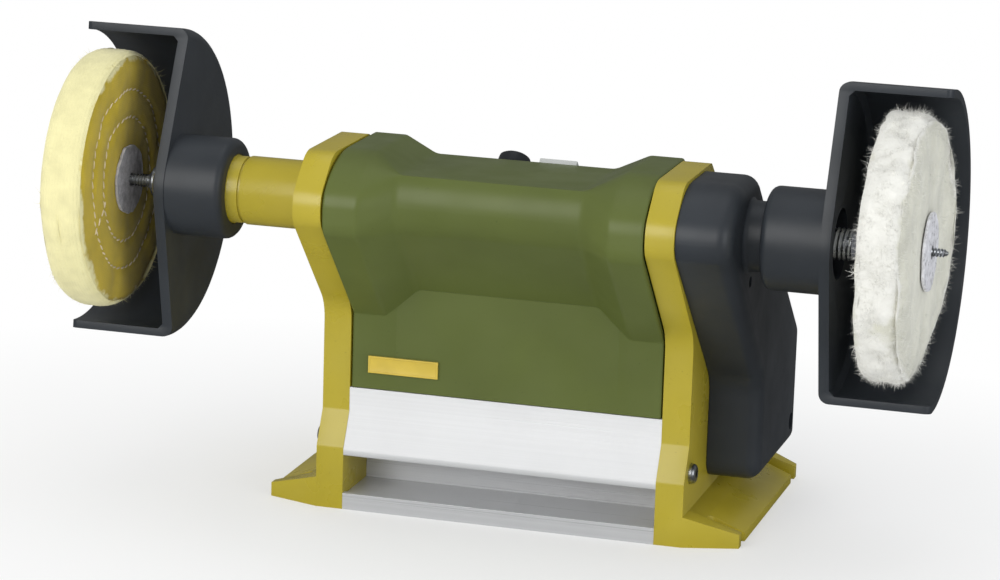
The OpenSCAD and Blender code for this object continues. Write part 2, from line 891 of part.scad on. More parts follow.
// Spindle with its taper points, seen from the middle of the machine
stub_d = 7;
stub_l = 9;
point_gap = 1.5;
left_point_x = left_tube_end + point_gap;
right_point_x = right_neck_end + point_gap + 0.1;
tip_reach = wheel_stand + wheel_w + 7.4;
left_tip_x = left_arm + left_reach + tip_reach;
right_tip_x = right_arm + tip_reach;

module spindle_shaft() {
    color(bright_steel) {
        on_spindle(-left_point_x)
            cylinder(d = shaft_d, h = left_point_x + right_point_x);
        on_spindle(-left_point_x - stub_l)
            cylinder(d = stub_d, h = stub_l + cut);
        on_spindle(right_point_x - cut)
            cylinder(d = stub_d, h = stub_l + cut);
    }
}

// Taper point: a threaded foot on the shaft's stub and a long thin cone for the wheel
module taper_point(x0, x1) {
    shoulder = 2;
    cone_x = x0 + point_foot_l + shoulder;
    color(bright_steel)
        difference() {
            union() {
                on_spindle(x0)
                    cylinder(d = point_foot_d, h = point_foot_l);
                on_spindle(x0 + point_foot_l)
                    cylinder(d1 = point_foot_d, d2 = point_d + 1, h = shoulder);
                on_spindle(cone_x)
                    cylinder(d1 = point_d, d2 = point_tip_d, h = x1 - cone_x - 1.5);
                on_spindle(x1 - 1.5)
                    cylinder(d1 = point_tip_d, d2 = point_tip_d / 3, h = 1.5);
            }
            on_spindle(x0 - cut)
                cylinder(d = stub_d + 2 * fit_gap, h = stub_l + cut + 0.3);
        }
}

module left_taper_point() {
    side(-1)
        taper_point(left_point_x, left_tip_x);
}

module right_taper_point() {
    taper_point(right_point_x, right_tip_x);
}

// Retaining rings beside the bearings
clip_t = 1;
module spindle_clips() {
    color(bright_steel)
        for (x = [-left_bearing_x + fit_gap, right_bearing_x - clip_t - fit_gap])
            on_spindle(x)
                ring(shaft_d / 2 + 1.6, shaft_d / 2 + fit_gap, clip_t);
}

// Pulleys and belt share one plane in the belt cover
flange_t = 1.2;
flange_h = 1.7;
pulley_w = belt_w + 1 + 2 * flange_t;
pulley_x = outer_x + 3;
belt_x = pulley_x + flange_t + 0.5;

module pulley(d, bore, hub_h) {
    difference() {
        union() {
            cylinder(d = d, h = pulley_w);
            cylinder(d = d + 2 * flange_h, h = flange_t);
            translate([0, 0, pulley_w - flange_t])
                cylinder(d = d + 2 * flange_h, h = flange_t);
            translate([0, 0, pulley_w])
                cylinder(d = bore + 5, h = hub_h);
        }
        translate([0, 0, -cut])
            cylinder(d = bore + 2 * fit_gap, h = pulley_w + hub_h + 2 * cut);
    }
}

set_screw_d = 3;
module set_screw_hole(d, bore) {
    translate([0, bore / 2, pulley_w / 2])
        rotate([-90, 0, 0])
            cylinder(d = set_screw_d + 2 * fit_gap, h = d / 2);
}

module set_screw(d, bore) {
    translate([0, bore / 2 + move_gap, pulley_w / 2])
        rotate([-90, 0, 0])
            cylinder(d = set_screw_d, h = d / 2 - bore / 2 - 2 * move_gap);
}

module spindle_pulley() {
    color("#8d9094")
        on_spindle(pulley_x)
            difference() {
                pulley(spindle_pulley_d, shaft_d, 1);
                set_screw_hole(spindle_pulley_d, shaft_d);
            }
}

module motor_pulley() {
    color("#8d9094")
        on_motor(pulley_x)
            pulley(motor_pulley_d, motor_shaft_d, 1);
}

module pulley_set_screws() {
    color(bright_steel)
        on_spindle(pulley_x)
            set_screw(spindle_pulley_d, shaft_d);
}

// Outline of an open belt round two circles, in the frame of the spindle axis
drive = [motor_y - spindle_y, motor_z - spindle_z];
drive_l = norm(drive);
drive_a = atan2(drive[1], drive[0]);
belt_steps = 24;
function belt_line(r1, r2) =
    let (wrap_a = acos((r1 - r2) / drive_l))
    concat(
        [for (k = [0 : belt_steps])
            let (a = drive_a + wrap_a + k * (360 - 2 * wrap_a) / belt_steps)
            r1 * [cos(a), sin(a)]],
        [for (k = [0 : belt_steps])
            let (a = drive_a - wrap_a + k * 2 * wrap_a / belt_steps)
            drive + r2 * [cos(a), sin(a)]]);

belt_gap = 0.2;
module drive_belt() {
    r1 = spindle_pulley_d / 2 + belt_gap;
    r2 = motor_pulley_d / 2 + belt_gap;
    color("#1f2123")
        on_spindle(belt_x)
            linear_extrude(belt_w)
                difference() {
                    polygon(belt_line(r1 + belt_t, r2 + belt_t));
                    polygon(belt_line(r1, r2));
                }
}

// Motor: can, caps, magnets and brushes stand still; shaft, armature and fan turn
cap_t = 6;
can_wall = 2;
can_x1 = inner_x - cap_t;
can_x0 = inner_x - motor_l + cap_t;
motor_x0 = inner_x - motor_l;
motor_r = motor_d / 2;
bush_r = motor_shaft_d / 2 + 2.5;

module motor_can() {
    color("#74777b")
        on_motor(can_x0)
            ring(motor_r, motor_r - can_wall, can_x1 - can_x0);
}

module motor_end_caps() {
    color("#5d6064") {
        on_motor(can_x1)
            difference() {
                ring(motor_r, bush_r + fit_gap, cap_t);
                for (a = motor_screw_angles)
                    rotate([0, 0, a])
                        translate([motor_screw_r, 0, -cut])
                            cylinder(d = motor_screw_d + 2 * fit_gap, h = cap_t + 2 * cut);
            }
        on_motor(motor_x0)
            ring(motor_r, bush_r + fit_gap, cap_t);
    }
}

module motor_bushes() {
    color("#b08d4f")
        for (x = [motor_x0, can_x1])
            on_motor(x)
                ring(bush_r, motor_shaft_d / 2 + running_gap, cap_t);
}

module motor_screws() {
    color(bright_steel)
        for (a = motor_screw_angles)
            on_motor(outer_x)
                rotate([0, 0, a])
                    translate([motor_screw_r, 0, 0])
                        pan_screw(motor_screw_d, plate_t + cap_t - 0.5, 1.6);
}

brush_bay = 20;
fan_l = 14;
fan_room = 4;
armature_x = can_x0 + brush_bay;
armature_l = can_x1 - can_x0 - brush_bay - fan_l - 2 * fan_room;
magnet_in_r = motor_r - can_wall - 6;
magnet_gap = 0.5;
armature_r = magnet_in_r - magnet_gap;

module motor_magnets() {
    color("#303236")
        on_motor(armature_x - 2)
            intersection() {
                ring(motor_r - can_wall - fit_gap, magnet_in_r, armature_l + 4);
                for (a = [0, 180])
                    rotate([0, 0, a])
                        linear_extrude(armature_l + 4)
                            polygon([[0, 0], 2 * motor_r * [1, -0.9], 2 * motor_r * [1, 0.9]]);
            }
}

module motor_shaft() {
    color(bright_steel)
        on_motor(motor_x0 + 1)
            cylinder(d = motor_shaft_d, h = pulley_x + pulley_w + 2 - motor_x0);
}

module motor_armature() {
    slots = 7;
    color("#9a5a33")
        on_motor(armature_x)
            difference() {
                ring(armature_r, motor_shaft_d / 2 + fit_gap, armature_l);
                for (k = [0 : slots - 1])
                    rotate([0, 0, k * 360 / slots])
                        translate([armature_r - 6, -1.2, -cut])
                            cube([8, 2.4, armature_l + 2 * cut]);
            }
}

commutator_r = motor_shaft_d / 2 + 5;
commutator_l = 10;
commutator_x = can_x0 + 6;

module motor_commutator() {
    color("#b87333")
        on_motor(commutator_x)
            ring(commutator_r, motor_shaft_d / 2 + fit_gap, commutator_l);
}

module motor_fan() {
    blades = 8;
    hub_r = motor_shaft_d / 2 + 3;
    fan_x = armature_x + armature_l + fan_room;
    fan_r = motor_r - can_wall - 2;
    color("#e6e2d6")
        on_motor(fan_x)
            difference() {
                union() {
                    cylinder(r = hub_r, h = fan_l);
                    cylinder(r = fan_r, h = 1.6);
                    for (k = [0 : blades - 1])
                        rotate([0, 0, k * 360 / blades])
                            translate([hub_r - 1, -0.7, 0.8])
                                cube([fan_r - hub_r, 1.4, fan_l - 1]);
                }
                translate([0, 0, -cut])
                    cylinder(d = motor_shaft_d + 2 * fit_gap, h = fan_l + 2 * cut);
            }
}

brush_w = 5;
brush_l = 9;
brush_x = commutator_x + 2;
brush_out = commutator_r + brush_l;
holder_start = 2.5;
holder_l = brush_l + 0.5;

module carbon_brushes() {
    color("#26282b")
        on_motor(brush_x)
            for (a = [90, 270])
                rotate([0, 0, a])
                    translate([commutator_r + move_gap, -brush_w / 2, 0])
                        cube([brush_out - commutator_r, brush_w, brush_w]);
}

module brush_holders() {
    wall = 1.6;
    seat = can_x0;
    color("#c9b37a")
        on_motor(seat)
            for (a = [90, 270])
                rotate([0, 0, a])
                    difference() {
                        translate([commutator_r + holder_start, -brush_w / 2 - wall, 0])
                            cube([holder_l, brush_w + 2 * wall, brush_x - seat + brush_w + wall]);
                        translate([commutator_r, -brush_w / 2 - fit_gap, brush_x - seat - fit_gap])
                            cube([brush_out - commutator_r + 0.5, brush_w + 2 * fit_gap,
                                  brush_w + 2 * fit_gap]);
                    }
}

// Buffing wheels with a slightly crowned rim, and their centre discs
wheel_bore_d = point_d + 0.4;
wheel_edge = 2.4;

function wheel_profile(r, w, crown) = [
    [wheel_bore_d / 2, 0], [0.45 * r, 0], [0.74 * r, 0.6 * crown], [r - wheel_edge - crown, 0],
    [r - crown, wheel_edge], [r, w / 2], [r - crown, w - wheel_edge],
    [r - wheel_edge - crown, w], [0.74 * r, w - 0.6 * crown], [0.45 * r, w], [wheel_bore_d / 2, w]
];

module wheel(w, crown) {
    rotate_extrude($fn = 72)
        polygon(wheel_profile(wheel_d / 2, w, crown));
}

left_wheel_x = left_arm + left_reach + wheel_stand;
right_wheel_x = right_arm + wheel_stand;

module left_wheel() {
    color("#a8962f")
        side(-1)
            on_spindle(left_wheel_x)
                wheel(wheel_w, 0.6);
}

module right_wheel() {
    color("#ebebe6")
        on_spindle(right_wheel_x)
            wheel(wheel_w, 1.2);
}

module wheel_discs(x, d) {
    for (f = [x - disc_t, x + wheel_w])
        on_spindle(f)
            ring(d / 2, wheel_bore_d / 2, disc_t);
}

module left_wheel_discs() {
    color("#8a878b")
        side(-1)
            wheel_discs(left_wheel_x, left_disc_d);
}

module right_wheel_discs() {
    color("#b5b5b5")
        wheel_discs(right_wheel_x, right_disc_d);
}

// Guard: a D shaped cup whose front edges run tangent to its round hub
guard_corner = 4;
guard_r = wheel_d / 2 + guard_room + guard_band;
hub_r = hub_d / 2;
hub_bore_r = tube_d / 2 + running_gap;
guard_screw_d = 4;
guard_screw_at = hub_l - tube_grip / 2 - 6;

// Section of the cup through its axis: radius against depth
function cup_profile() = concat(
    [[0, 0]],
    [for (k = [0 : corner_steps])
        [guard_r - guard_corner, guard_corner]
        + guard_corner * [sin(90 * k / corner_steps), -cos(90 * k / corner_steps)]],
    [[guard_r, guard_depth], [guard_r - guard_band, guard_depth],
     [guard_r - guard_band, guard_wall + 2], [guard_r - guard_band - 2, guard_wall],
     [0, guard_wall]]);

// Half plane behind the front edges, bulged forward round the hub
module guard_cut() {
    far = 2 * guard_r;
    edge_y = guard_r - guard_band - 1;
    bulge_r = hub_r + 0.5;
    reach = norm([guard_front, edge_y]);
    tangent = acos(bulge_r / reach);
    edge_a = atan2(edge_y, -guard_front);
    polygon(concat(
        [[-guard_front, -far], [far, -far], [far, far], [-guard_front, far],
         [-guard_front, edge_y]],
        [for (k = [0 : 2 * corner_steps])
            let (a = edge_a + tangent
                     + k * (360 - 2 * (edge_a + tangent)) / (2 * corner_steps))
            bulge_r * [cos(a), sin(a)]],
        [[-guard_front, -edge_y]]));
}

module guard(tilt) {
    rotate([0, 0, -tilt])
        difference() {
            union() {
                translate([0, 0, hub_l])
                    intersection() {
                        rotate_extrude($fn = 96)
                            polygon(cup_profile());
                        translate([0, 0, -cut])
                            linear_extrude(guard_depth + 2 * cut)
                                guard_cut();
                    }
                cylinder(r = hub_r, h = hub_l + cut);
            }
            translate([0, 0, -cut])
                cylinder(r = hub_bore_r, h = hub_l + guard_wall + 2 * cut);
            guard_screw_place()
                cylinder(d = guard_screw_d + 2 * fit_gap, h = hub_r);
        }
}

module guard_screw_place() {
    translate([0, 0, hub_l - tube_grip + 2])
        rotate([-90, 0, 0])
            rotate([0, 20, 0])
                children();
}

module guard_grub(tilt) {
    rotate([0, 0, -tilt])
        guard_screw_place()
            translate([0, 0, hub_bore_r + move_gap])
                difference() {
                    cylinder(d = guard_screw_d, h = hub_r - hub_bore_r - 2 * move_gap);
                    translate([0, 0, hub_r - hub_bore_r - 3])
                        cylinder(d = 2, h = 4, $fn = 6);
                }
}

module left_guard() {
    color(black_plastic)
        side(-1)
            on_spindle(left_arm)
                guard(left_tilt);
}

module right_guard() {
    color(black_plastic)
        on_spindle(right_arm)
            guard(right_tilt);
}

module left_guard_screw() {
    color("#2b2e31")
        side(-1)
            on_spindle(left_arm)
                guard_grub(left_tilt);
}

module right_guard_screw() {
    color("#2b2e31")
        on_spindle(right_arm)
            guard_grub(right_tilt);
}

// Speed control: board behind the front panel, potentiometer under the back slope
module control_board() {
    color("#3c6b44")
        difference() {
            translate([board_x0, board_y, board_z0])
                cube([board_l, board_t, board_h]);
            for (p = board_posts)
                translate([p[0], board_y - cut, p[1]])
                    rotate([-90, 0, 0])
                        cylinder(d = board_screw_d + 2 * screw_gap, h = board_t + 2 * cut);
        }
}

module board_screws() {
    color(bright_steel)
        for (p = board_posts)
            translate([p[0], board_y + board_t, p[1]])
                rotate([-90, 0, 0])
                    pan_screw(board_screw_d, board_post_l + board_t - 1, 1.4);
}

// Parts on the board, as shares of its length and height
cap_at = 0.26;
cap_d = 12;
cap_l = 16;
relay_at = 0.44;
relay_size = [16, 10, 18];
coil_at = 0.74;
coil_size = [10, 12, 12];

module board_components() {
    face = board_y + board_t;
    color("#3a3f5c") {
        translate([board_x0 + cap_at * board_l, face, board_z0 + board_h / 2])
            rotate([-90, 0, 0])
                cylinder(d = cap_d, h = cap_l);
        translate([board_x0 + relay_at * board_l, face, board_z0 + (board_h - relay_size[2]) / 2])
            cube(relay_size);
        translate([board_x0 + coil_at * board_l, face, board_z0 + (board_h - coil_size[2]) / 2])
            cube(coil_size);
    }
}

pot_r = 8;
pot_l = 9;
pot_neck_r = 3.5;
pot_shaft_r = 2;
nut_t = 2;

module potentiometer_body() {
    color("#6f7276")
        on_slope(knob_x, knob_run)
            difference() {
                union() {
                    translate([0, 0, -housing_wall - pot_l])
                        cylinder(r = pot_r, h = pot_l);
                    translate([0, 0, -housing_wall - cut])
                        cylinder(r = pot_neck_r, h = housing_wall + cut + nut_t);
                }
                translate([0, 0, -housing_wall - pot_l + 2])
                    cylinder(r = pot_shaft_r + running_gap, h = pot_l + housing_wall + nut_t);
            }
}

module potentiometer_nut() {
    color(bright_steel)
        on_slope(knob_x, knob_run)
            difference() {
                cylinder(r = 5.4, h = nut_t, $fn = 6);
                translate([0, 0, -cut])
                    cylinder(r = pot_neck_r + fit_gap, h = nut_t + 2 * cut);
            }
}

module potentiometer_shaft() {
    color(bright_steel)
        on_slope(knob_x, knob_run)
            translate([0, 0, -housing_wall - pot_l + 2 + move_gap])
                cylinder(r = pot_shaft_r, h = housing_wall + pot_l - 2 - move_gap + knob_h - 2);
}

module speed_knob() {
    ribs = 18;
    skirt = 0.5;
    color("#1e2022")
        on_slope(knob_x, knob_run)
            difference() {
                union() {
                    translate([0, 0, skirt])
                        cylinder(d = knob_d - 0.8, h = knob_h - skirt);
                    for (k = [0 : ribs - 1])
                        rotate([0, 0, k * 360 / ribs])
                            translate([knob_d / 2 - 0.8, 0, skirt + 0.6])
                                cylinder(r = 0.7, h = knob_h - skirt - 1.2, $fn = 16);
                }
                translate([0, 0, -cut])
                    cylinder(r = 6.2, h = nut_t + move_gap + cut);
                translate([0, 0, nut_t])
                    cylinder(r = pot_shaft_r + fit_gap, h = knob_h - 1.8 - nut_t);
                translate([-0.4, 2, knob_h - 0.4])
                    cube([0.8, knob_d / 2, 1]);
            }
}

// Rocker switch let into the back slope
bezel_t = 2.4;
bezel_rim = 1.4;
switch_depth = 16;
rocker_w = switch_w - 2 * bezel_rim - 1.2;
rocker_l = switch_l - 2 * bezel_rim - 1.6;
rocker_pivot = -2.6;
switch_pin_r = 1.2;

module switch_bezel() {
    color("#c9cbc9")
        on_slope(switch_x, switch_run)
            difference() {
                translate([-switch_w / 2, -switch_l / 2, 0])
                    cube([switch_w, switch_l, bezel_t]);
                translate([-switch_w / 2 + bezel_rim, -switch_l / 2 + bezel_rim, -cut])
                    cube([switch_w - 2 * bezel_rim, switch_l - 2 * bezel_rim, bezel_t + 2 * cut]);
            }
}

module switch_body() {
    wall = 1;
    out_w = switch_w - 3.4;
    out_l = switch_l - 3.4;
    color("#26282b")
        on_slope(switch_x, switch_run)
            difference() {
                translate([-out_w / 2, -out_l / 2, -switch_depth])
                    cube([out_w, out_l, switch_depth]);
                translate([-out_w / 2 + wall, -out_l / 2 + wall, -switch_depth + wall + 4])
                    cube([out_w - 2 * wall, out_l - 2 * wall, switch_depth]);
                translate([-switch_w, 0, rocker_pivot])
                    rotate([0, 90, 0])
                        cylinder(r = switch_pin_r + running_gap, h = 2 * switch_w);
            }
}

module switch_rocker() {
    out_w = switch_w - 3.4;
    w = out_w - 2 - 2 * move_gap;
    l = switch_l - 3.4 - 2 - 4 * move_gap;
    color("#17191b")
        on_slope(switch_x, switch_run)
            translate([0, 0, rocker_pivot])
                rotate([-rocker_half, 0, 0]) {
                    intersection() {
                        translate([-w / 2, -l / 2, -2.4])
                            cube([w, l, 7.4]);
                        translate([-w / 2 - cut, 0, 0])
                            rotate([90, 0, 90])
                                cylinder(r = l / 2, h = w + 2 * cut);
                        rotate([90, 0, 90])
                            translate([0, 0, -w / 2])
                                linear_extrude(w)
                                    polygon([[-l, -3], [l, -3], [l, 5.4], [0, 3.6], [-l, 5.4]]);
                    }
                    translate([-out_w / 2, 0, 0])
                        rotate([0, 90, 0])
                            cylinder(r = switch_pin_r, h = out_w);
                }
}

left_end_plate();
right_end_plate();
base_profile();
housing_shell();
rear_cover();
badge_plate();
belt_cover();
bearing_outer_rings();
bearing_balls();
drive_belt();
motor_can();
motor_end_caps();
motor_magnets();
motor_bushes();
brush_holders();
carbon_brushes();
motor_screws();
control_board();
board_components();
board_screws();
potentiometer_body();
potentiometer_nut();
switch_body();
switch_bezel();
cord_gland();
gland_nut();
plate_screws();
cover_screws();
rear_cover_screws();
spindle_shaft();
left_taper_point();
right_taper_point();
bearing_inner_rings();
spindle_pulley();
pulley_set_screws();
spindle_clips();
left_wheel();
left_wheel_discs();
right_wheel();
right_wheel_discs();
motor_shaft();
motor_armature();
motor_commutator();
motor_fan();
motor_pulley();
left_guard();
left_guard_screw();
right_guard();
right_guard_screw();
speed_knob();
potentiometer_shaft();
switch_rocker();
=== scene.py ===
"""Dental polishing lathe: its visible pieces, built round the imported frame, as an add-on."""

import math
import random

import bmesh
import bpy
from mathutils import Matrix, Vector, noise


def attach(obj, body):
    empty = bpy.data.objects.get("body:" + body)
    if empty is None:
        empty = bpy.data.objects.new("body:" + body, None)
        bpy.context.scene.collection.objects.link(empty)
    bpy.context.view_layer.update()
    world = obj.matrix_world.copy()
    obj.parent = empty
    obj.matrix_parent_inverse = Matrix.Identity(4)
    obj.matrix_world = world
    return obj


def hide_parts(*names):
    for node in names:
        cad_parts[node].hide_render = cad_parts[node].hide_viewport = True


bl_info = {
    "name": "Dental Polishing Lathe",
    "version": (1, 0, 0),
    "blender": (4, 5, 0),
    "location": "3D View > Sidebar > Lathe",
    "description": "Builds a bench polishing lathe with two cloth wheels round its frame",
    "category": "Object",
}

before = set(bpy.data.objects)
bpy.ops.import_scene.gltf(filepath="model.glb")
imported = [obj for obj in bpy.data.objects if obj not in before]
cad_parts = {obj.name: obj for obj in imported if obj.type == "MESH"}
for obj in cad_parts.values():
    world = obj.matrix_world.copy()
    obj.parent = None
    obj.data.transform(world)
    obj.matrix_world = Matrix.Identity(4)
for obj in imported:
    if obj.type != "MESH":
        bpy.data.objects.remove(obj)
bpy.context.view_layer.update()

# Millimetres in the frame's axes: X along the spindle, Y to the back, Z up
MM = 0.001
SPINDLE_Y, SPINDLE_Z = -58.5, 124.0
INNER_X, OUTER_X = 63.0, 74.0
LEG_Y, BACK_Y = -54.0, 60.5
MOTOR_Y, MOTOR_Z = 11.6, 42.0
COVER_X, NECK_END, TUBE_R = 95.0, 116.0, 13.4
COVER_WALL, COVER_BORE = 2.5, 7.0
LEFT_HUB, RIGHT_HUB = 109.4, 102.0
HUB_L, HUB_R = 23.0, 19.7
GUARD_DEPTH, GUARD_FRONT, GUARD_BORE = 42.5, 2.0, 15.2
WHEEL_R, WHEEL_W, BORE_R = 50.0, 17.0, 2.7
LEFT_WHEEL, RIGHT_WHEEL = 154.8, 145.2
FACE_R, DISC_T = 46.6, 1.4

# Corners of the housing's outline in Y and Z, from the lower front edge round the back
SHELL_BASE = 48.0
COLLAR_POINTS = [(LEG_Y, SHELL_BASE), (BACK_Y, SHELL_BASE), (BACK_Y, 70), (-32, 146),
                 (-80, 146), (-94.5, 131.5), (-94.5, 118.5), (LEG_Y, 78)]
COLLAR_RADII = [0, 0, 12, 2, 36, 11, 9, 1.2]
SHELL_STEPS = [0, 0, 8, 3, 12, 8, 8, 3]
SHELL_BASE_EASE, SHELL_WALL = 0.3, 2.5
COLLAR_X, WAIST_X = 49.0, 36.0
WAIST_SINK, WAIST_KNEE = 6.0, 89.7
WAIST_TOP = COLLAR_POINTS[3][1] - WAIST_SINK
WAIST_NOSE_R, WAIST_NOSE_Y = 16.0, -86.0

# Corners of the belt cover's outline in Y and Z
COVER_POINTS = [(MOTOR_Y - 35, 17.5), (MOTOR_Y + 35, 17.5), (MOTOR_Y + 35, 67), (-44.5, 145),
                (-79.5, 145), (-93.5, 131.5), (-93.5, 121.5), (MOTOR_Y - 35, 58)]
COVER_RADII = [8, 6, 8, 14, 27, 13, 10, 14]
COVER_STEPS = [6, 5, 6, 9, 12, 8, 8, 8]
COVER_SCREWS = [(SPINDLE_Y + 43, SPINDLE_Z - 17), (MOTOR_Y + 25, MOTOR_Z - 14)]

# Screws in Y and Z, those at the back in X, Y and Z, then the radius, height and socket of the heads
PLATE_SCREWS = [(-50.0, 26.8), (52.0, 18.5), (-43.5, 134.0)]
REAR_SCREWS = [(x, 59.5, 11.0) for x in (-57, 57)]
PLATE_HEAD, SMALL_HEAD = (4.0, 2.4, 1.6), (3.0, 2.0, 1.2)
SCREW_SINK = 8.0

# Angles in degrees: an edge that gets rounded, and facets that count as one flat face
SHARP_EDGE, FLAT_FACE = 28, 0.7


def tint(code):
    """Linear colour of a hex code."""
    parts = [int(code[i:i + 2], 16) / 255 for i in (1, 3, 5)]
    return tuple(p / 12.92 if p <= 0.04045 else ((p + 0.055) / 1.055) ** 2.4 for p in parts) + (1.0,)


def length(name, description, default):
    return bpy.props.FloatProperty(name=name, description=description, default=default * MM,
                                   min=0.0, soft_max=10 * default * MM, unit="LENGTH", precision=5)


def colour(name, description, code):
    return bpy.props.FloatVectorProperty(name=name, description=description, default=tint(code),
                                         size=4, min=0.0, max=1.0, subtype="COLOR")


class LatheSizes(bpy.types.PropertyGroup):
    """Sizes of the details that the frame leaves open."""

    plate_easing: length("Plate easing", "Rounding of the castings' edges", 1.5)
    end_easing: length("End easing", "Rounding of the housing's two ends", 0.9)
    collar_round: length("Collar round", "Rounding where a collar turns down to the waist", 0.9)
    waist_blend: length("Waist blend", "Rounding where the slope meets the waist", 1.6)
    end_gap: length("End gap", "Dark gap between the housing and a casting", 0.7)
    cover_round: length("Cover round", "Rounding of the belt cover's outer edge", 6.0)
    neck_flare: length("Neck flare", "Fillet between the belt cover and its neck", 2.5)
    guard_easing: length("Guard easing", "Rounding of the guards' edges", 1.4)
    stitch_pitch: length("Stitch pitch", "Distance from one stitch to the next", 4.0)
    stitch_length: length("Stitch length", "Length of one stitch", 3.5)
    stitch_width: length("Stitch width", "Thickness of the sewing thread", 0.75)
    fluff_length: length("Fluff length", "Length of a loose fibre of the white cloth", 3.4)
    fluff_count: bpy.props.IntProperty(name="Fluff density", description="Loose fibres on each square "
                                       "centimetre of the white rim", default=200, min=0, max=300)
    ply_count: bpy.props.IntProperty(name="Plies", description="Cloth layers in a wheel", default=14,
                                     min=4, max=30)
    point_pitch: length("Point pitch", "Pitch of the screw thread on a taper point", 1.2)


class LatheColours(bpy.types.PropertyGroup):
    """Colours of the finishes."""

    paint: colour("Paint", "Enamel on the end castings", "#ac9c2c")
    shell: colour("Shell", "Finish of the housing", "#596331")
    black: colour("Black plastic", "Guards and belt cover", "#2f3338")
    aluminium: colour("Aluminium", "Base extrusion", "#cdced0")
    steel: colour("Steel", "Screws and spindle ends", "#b4b7ba")
    yellow_face: colour("Yellow cloth", "Faces of the stitched wheel", "#c0a82e")
    yellow_rim: colour("Yellow rim", "Worn rim of the stitched wheel", "#e6dfab")
    yellow_thread: colour("Yellow thread", "Sewing thread of the stitched wheel", "#e3d3b0")
    white_face: colour("White cloth", "Faces of the soft wheel", "#cfcec0")
    white_rim: colour("White rim", "Rim of the soft wheel", "#e6e5df")
    disc_dark: colour("Fibre disc", "Centre discs of the stitched wheel", "#bcbabd")
    disc_light: colour("Light disc", "Centre discs of the soft wheel", "#eeeef4")


def sizes():
    return bpy.context.scene.lathe_sizes


def mm(name):
    """A size of the property group in millimetres."""
    return getattr(sizes(), name) / MM


def shade(name):
    return tuple(getattr(bpy.context.scene.lathe_colours, name))


# Materials

class NodeMaker:
    """Adds nodes to a tree."""

    def __init__(self, tree):
        self.tree = tree
        tree.nodes.clear()

    def put(self, kind, *inputs, out=0, **named):
        """Adds a node and gives one of its outputs. A capital starts the name of an input, with
        underscores for its spaces, and a small letter that of a setting."""
        node = self.tree.nodes.new(kind)
        feeds = dict(enumerate(inputs))
        for key, value in named.items():
            if key[0].isupper():
                feeds[key.replace("_", " ")] = value
            else:
                setattr(node, key, value)
        for key, value in feeds.items():
            if isinstance(value, bpy.types.NodeSocket):
                self.tree.links.new(value, node.inputs[key])
            else:
                node.inputs[key].default_value = value
        return node.outputs[out] if node.outputs else None

    def calc(self, operation, first, second):
        return self.put("ShaderNodeMath", first, second, operation=operation)

    def times(self, first, second):
        return self.calc("MULTIPLY", first, second)

    def spread(self, value, low, high, new_low=0.0, new_high=1.0):
        return self.put("ShaderNodeMapRange", value, low, high, new_low, new_high)

    def xyz(self, x=0.0, y=0.0, z=0.0):
        return self.put("ShaderNodeCombineXYZ", x, y, z)

    def rays(self):
        """Whether a ray comes from the camera or through glass, and whether it is a reflection."""
        kinds = self.put("ShaderNodeLightPath").node.outputs
        seen = self.calc("MAXIMUM", kinds["Is Camera Ray"], kinds["Is Transmission Ray"])
        return seen, kinds["Is Glossy Ray"]


class Finish(NodeMaker):
    """A material whose nodes read Object coordinates."""

    def __init__(self, name, roughness=0.5, metallic=0.0, **sockets):
        self.material = bpy.data.materials.new(name)
        self.material.use_nodes = True
        super().__init__(self.material.node_tree)
        self.surface = self.put("ShaderNodeBsdfPrincipled", Roughness=roughness, Metallic=metallic,
                                **sockets)
        self.place = self.put("ShaderNodeTexCoord", out="Object")

    def moved(self, move=(0, 0, 0), scale=(1, 1, 1), turn=(0, 0, 0)):
        return self.put("ShaderNodeMapping", self.place, move, turn, scale)

    def grain(self, scale, detail, rough=0.5, vector=None):
        return self.put("ShaderNodeTexNoise", Vector=vector or self.place, Scale=scale, Detail=detail,
                        Roughness=rough)

    def bands(self, scale, direction, warp=0.0):
        return self.put("ShaderNodeTexWave", self.place, scale, warp, bands_direction=direction,
                        out="Fac")

    def blend(self, share, first, second):
        return self.put("ShaderNodeMix", data_type="RGBA", Factor=share, A=first, B=second,
                        out="Result")

    def mottled(self, noise, low, high, base, one, other):
        """A colour that drifts with a noise between two shades of its base."""
        return self.blend(self.spread(noise, low, high), darker(base, one), darker(base, other))

    def darkened(self, below, noise, low, high, share, dark_tone):
        """A colour blended towards a darker tone where a noise is high."""
        return self.blend(self.times(self.spread(noise, low, high), share), below, dark_tone)

    def bump(self, height, strength, distance, **below):
        return self.put("ShaderNodeBump", Strength=strength, Distance=distance, Height=height, **below)

    def feed(self, socket, value):
        self.tree.links.new(value, self.surface.node.inputs[socket])

    def done(self, base, normal, noise=None, smoothest=0.0, roughest=1.0):
        """Feeds the shader its colour, its bumps and a roughness that drifts with a noise."""
        self.feed("Base Color", base)
        self.feed("Normal", normal)
        if noise:
            self.feed("Roughness", self.spread(noise, 0.3, 0.7, smoothest, roughest))
        self.put("ShaderNodeOutputMaterial", self.surface)


def darker(value, share):
    return tuple(v * share for v in value[:3]) + (1.0,)


def enamel(name, base, roughness, shine):
    """Sprayed enamel: slight drift of colour, orange peel and a few specks."""
    make = Finish(name, roughness, Specular_IOR_Level=shine)
    shaded = make.mottled(make.grain(22, 4), 0.35, 0.65, base, 0.93, 1.06)
    shaded = make.darkened(shaded, make.grain(950, 2), 0.70, 0.76, 0.35, darker(base, 0.45))
    peel = make.bump(make.grain(420, 2), 0.02, 0.0002)
    fine = make.bump(make.grain(2600, 1), 0.02, 0.0001, Normal=peel)
    make.done(shaded, fine, make.grain(60, 3), roughness - 0.05, roughness + 0.07)


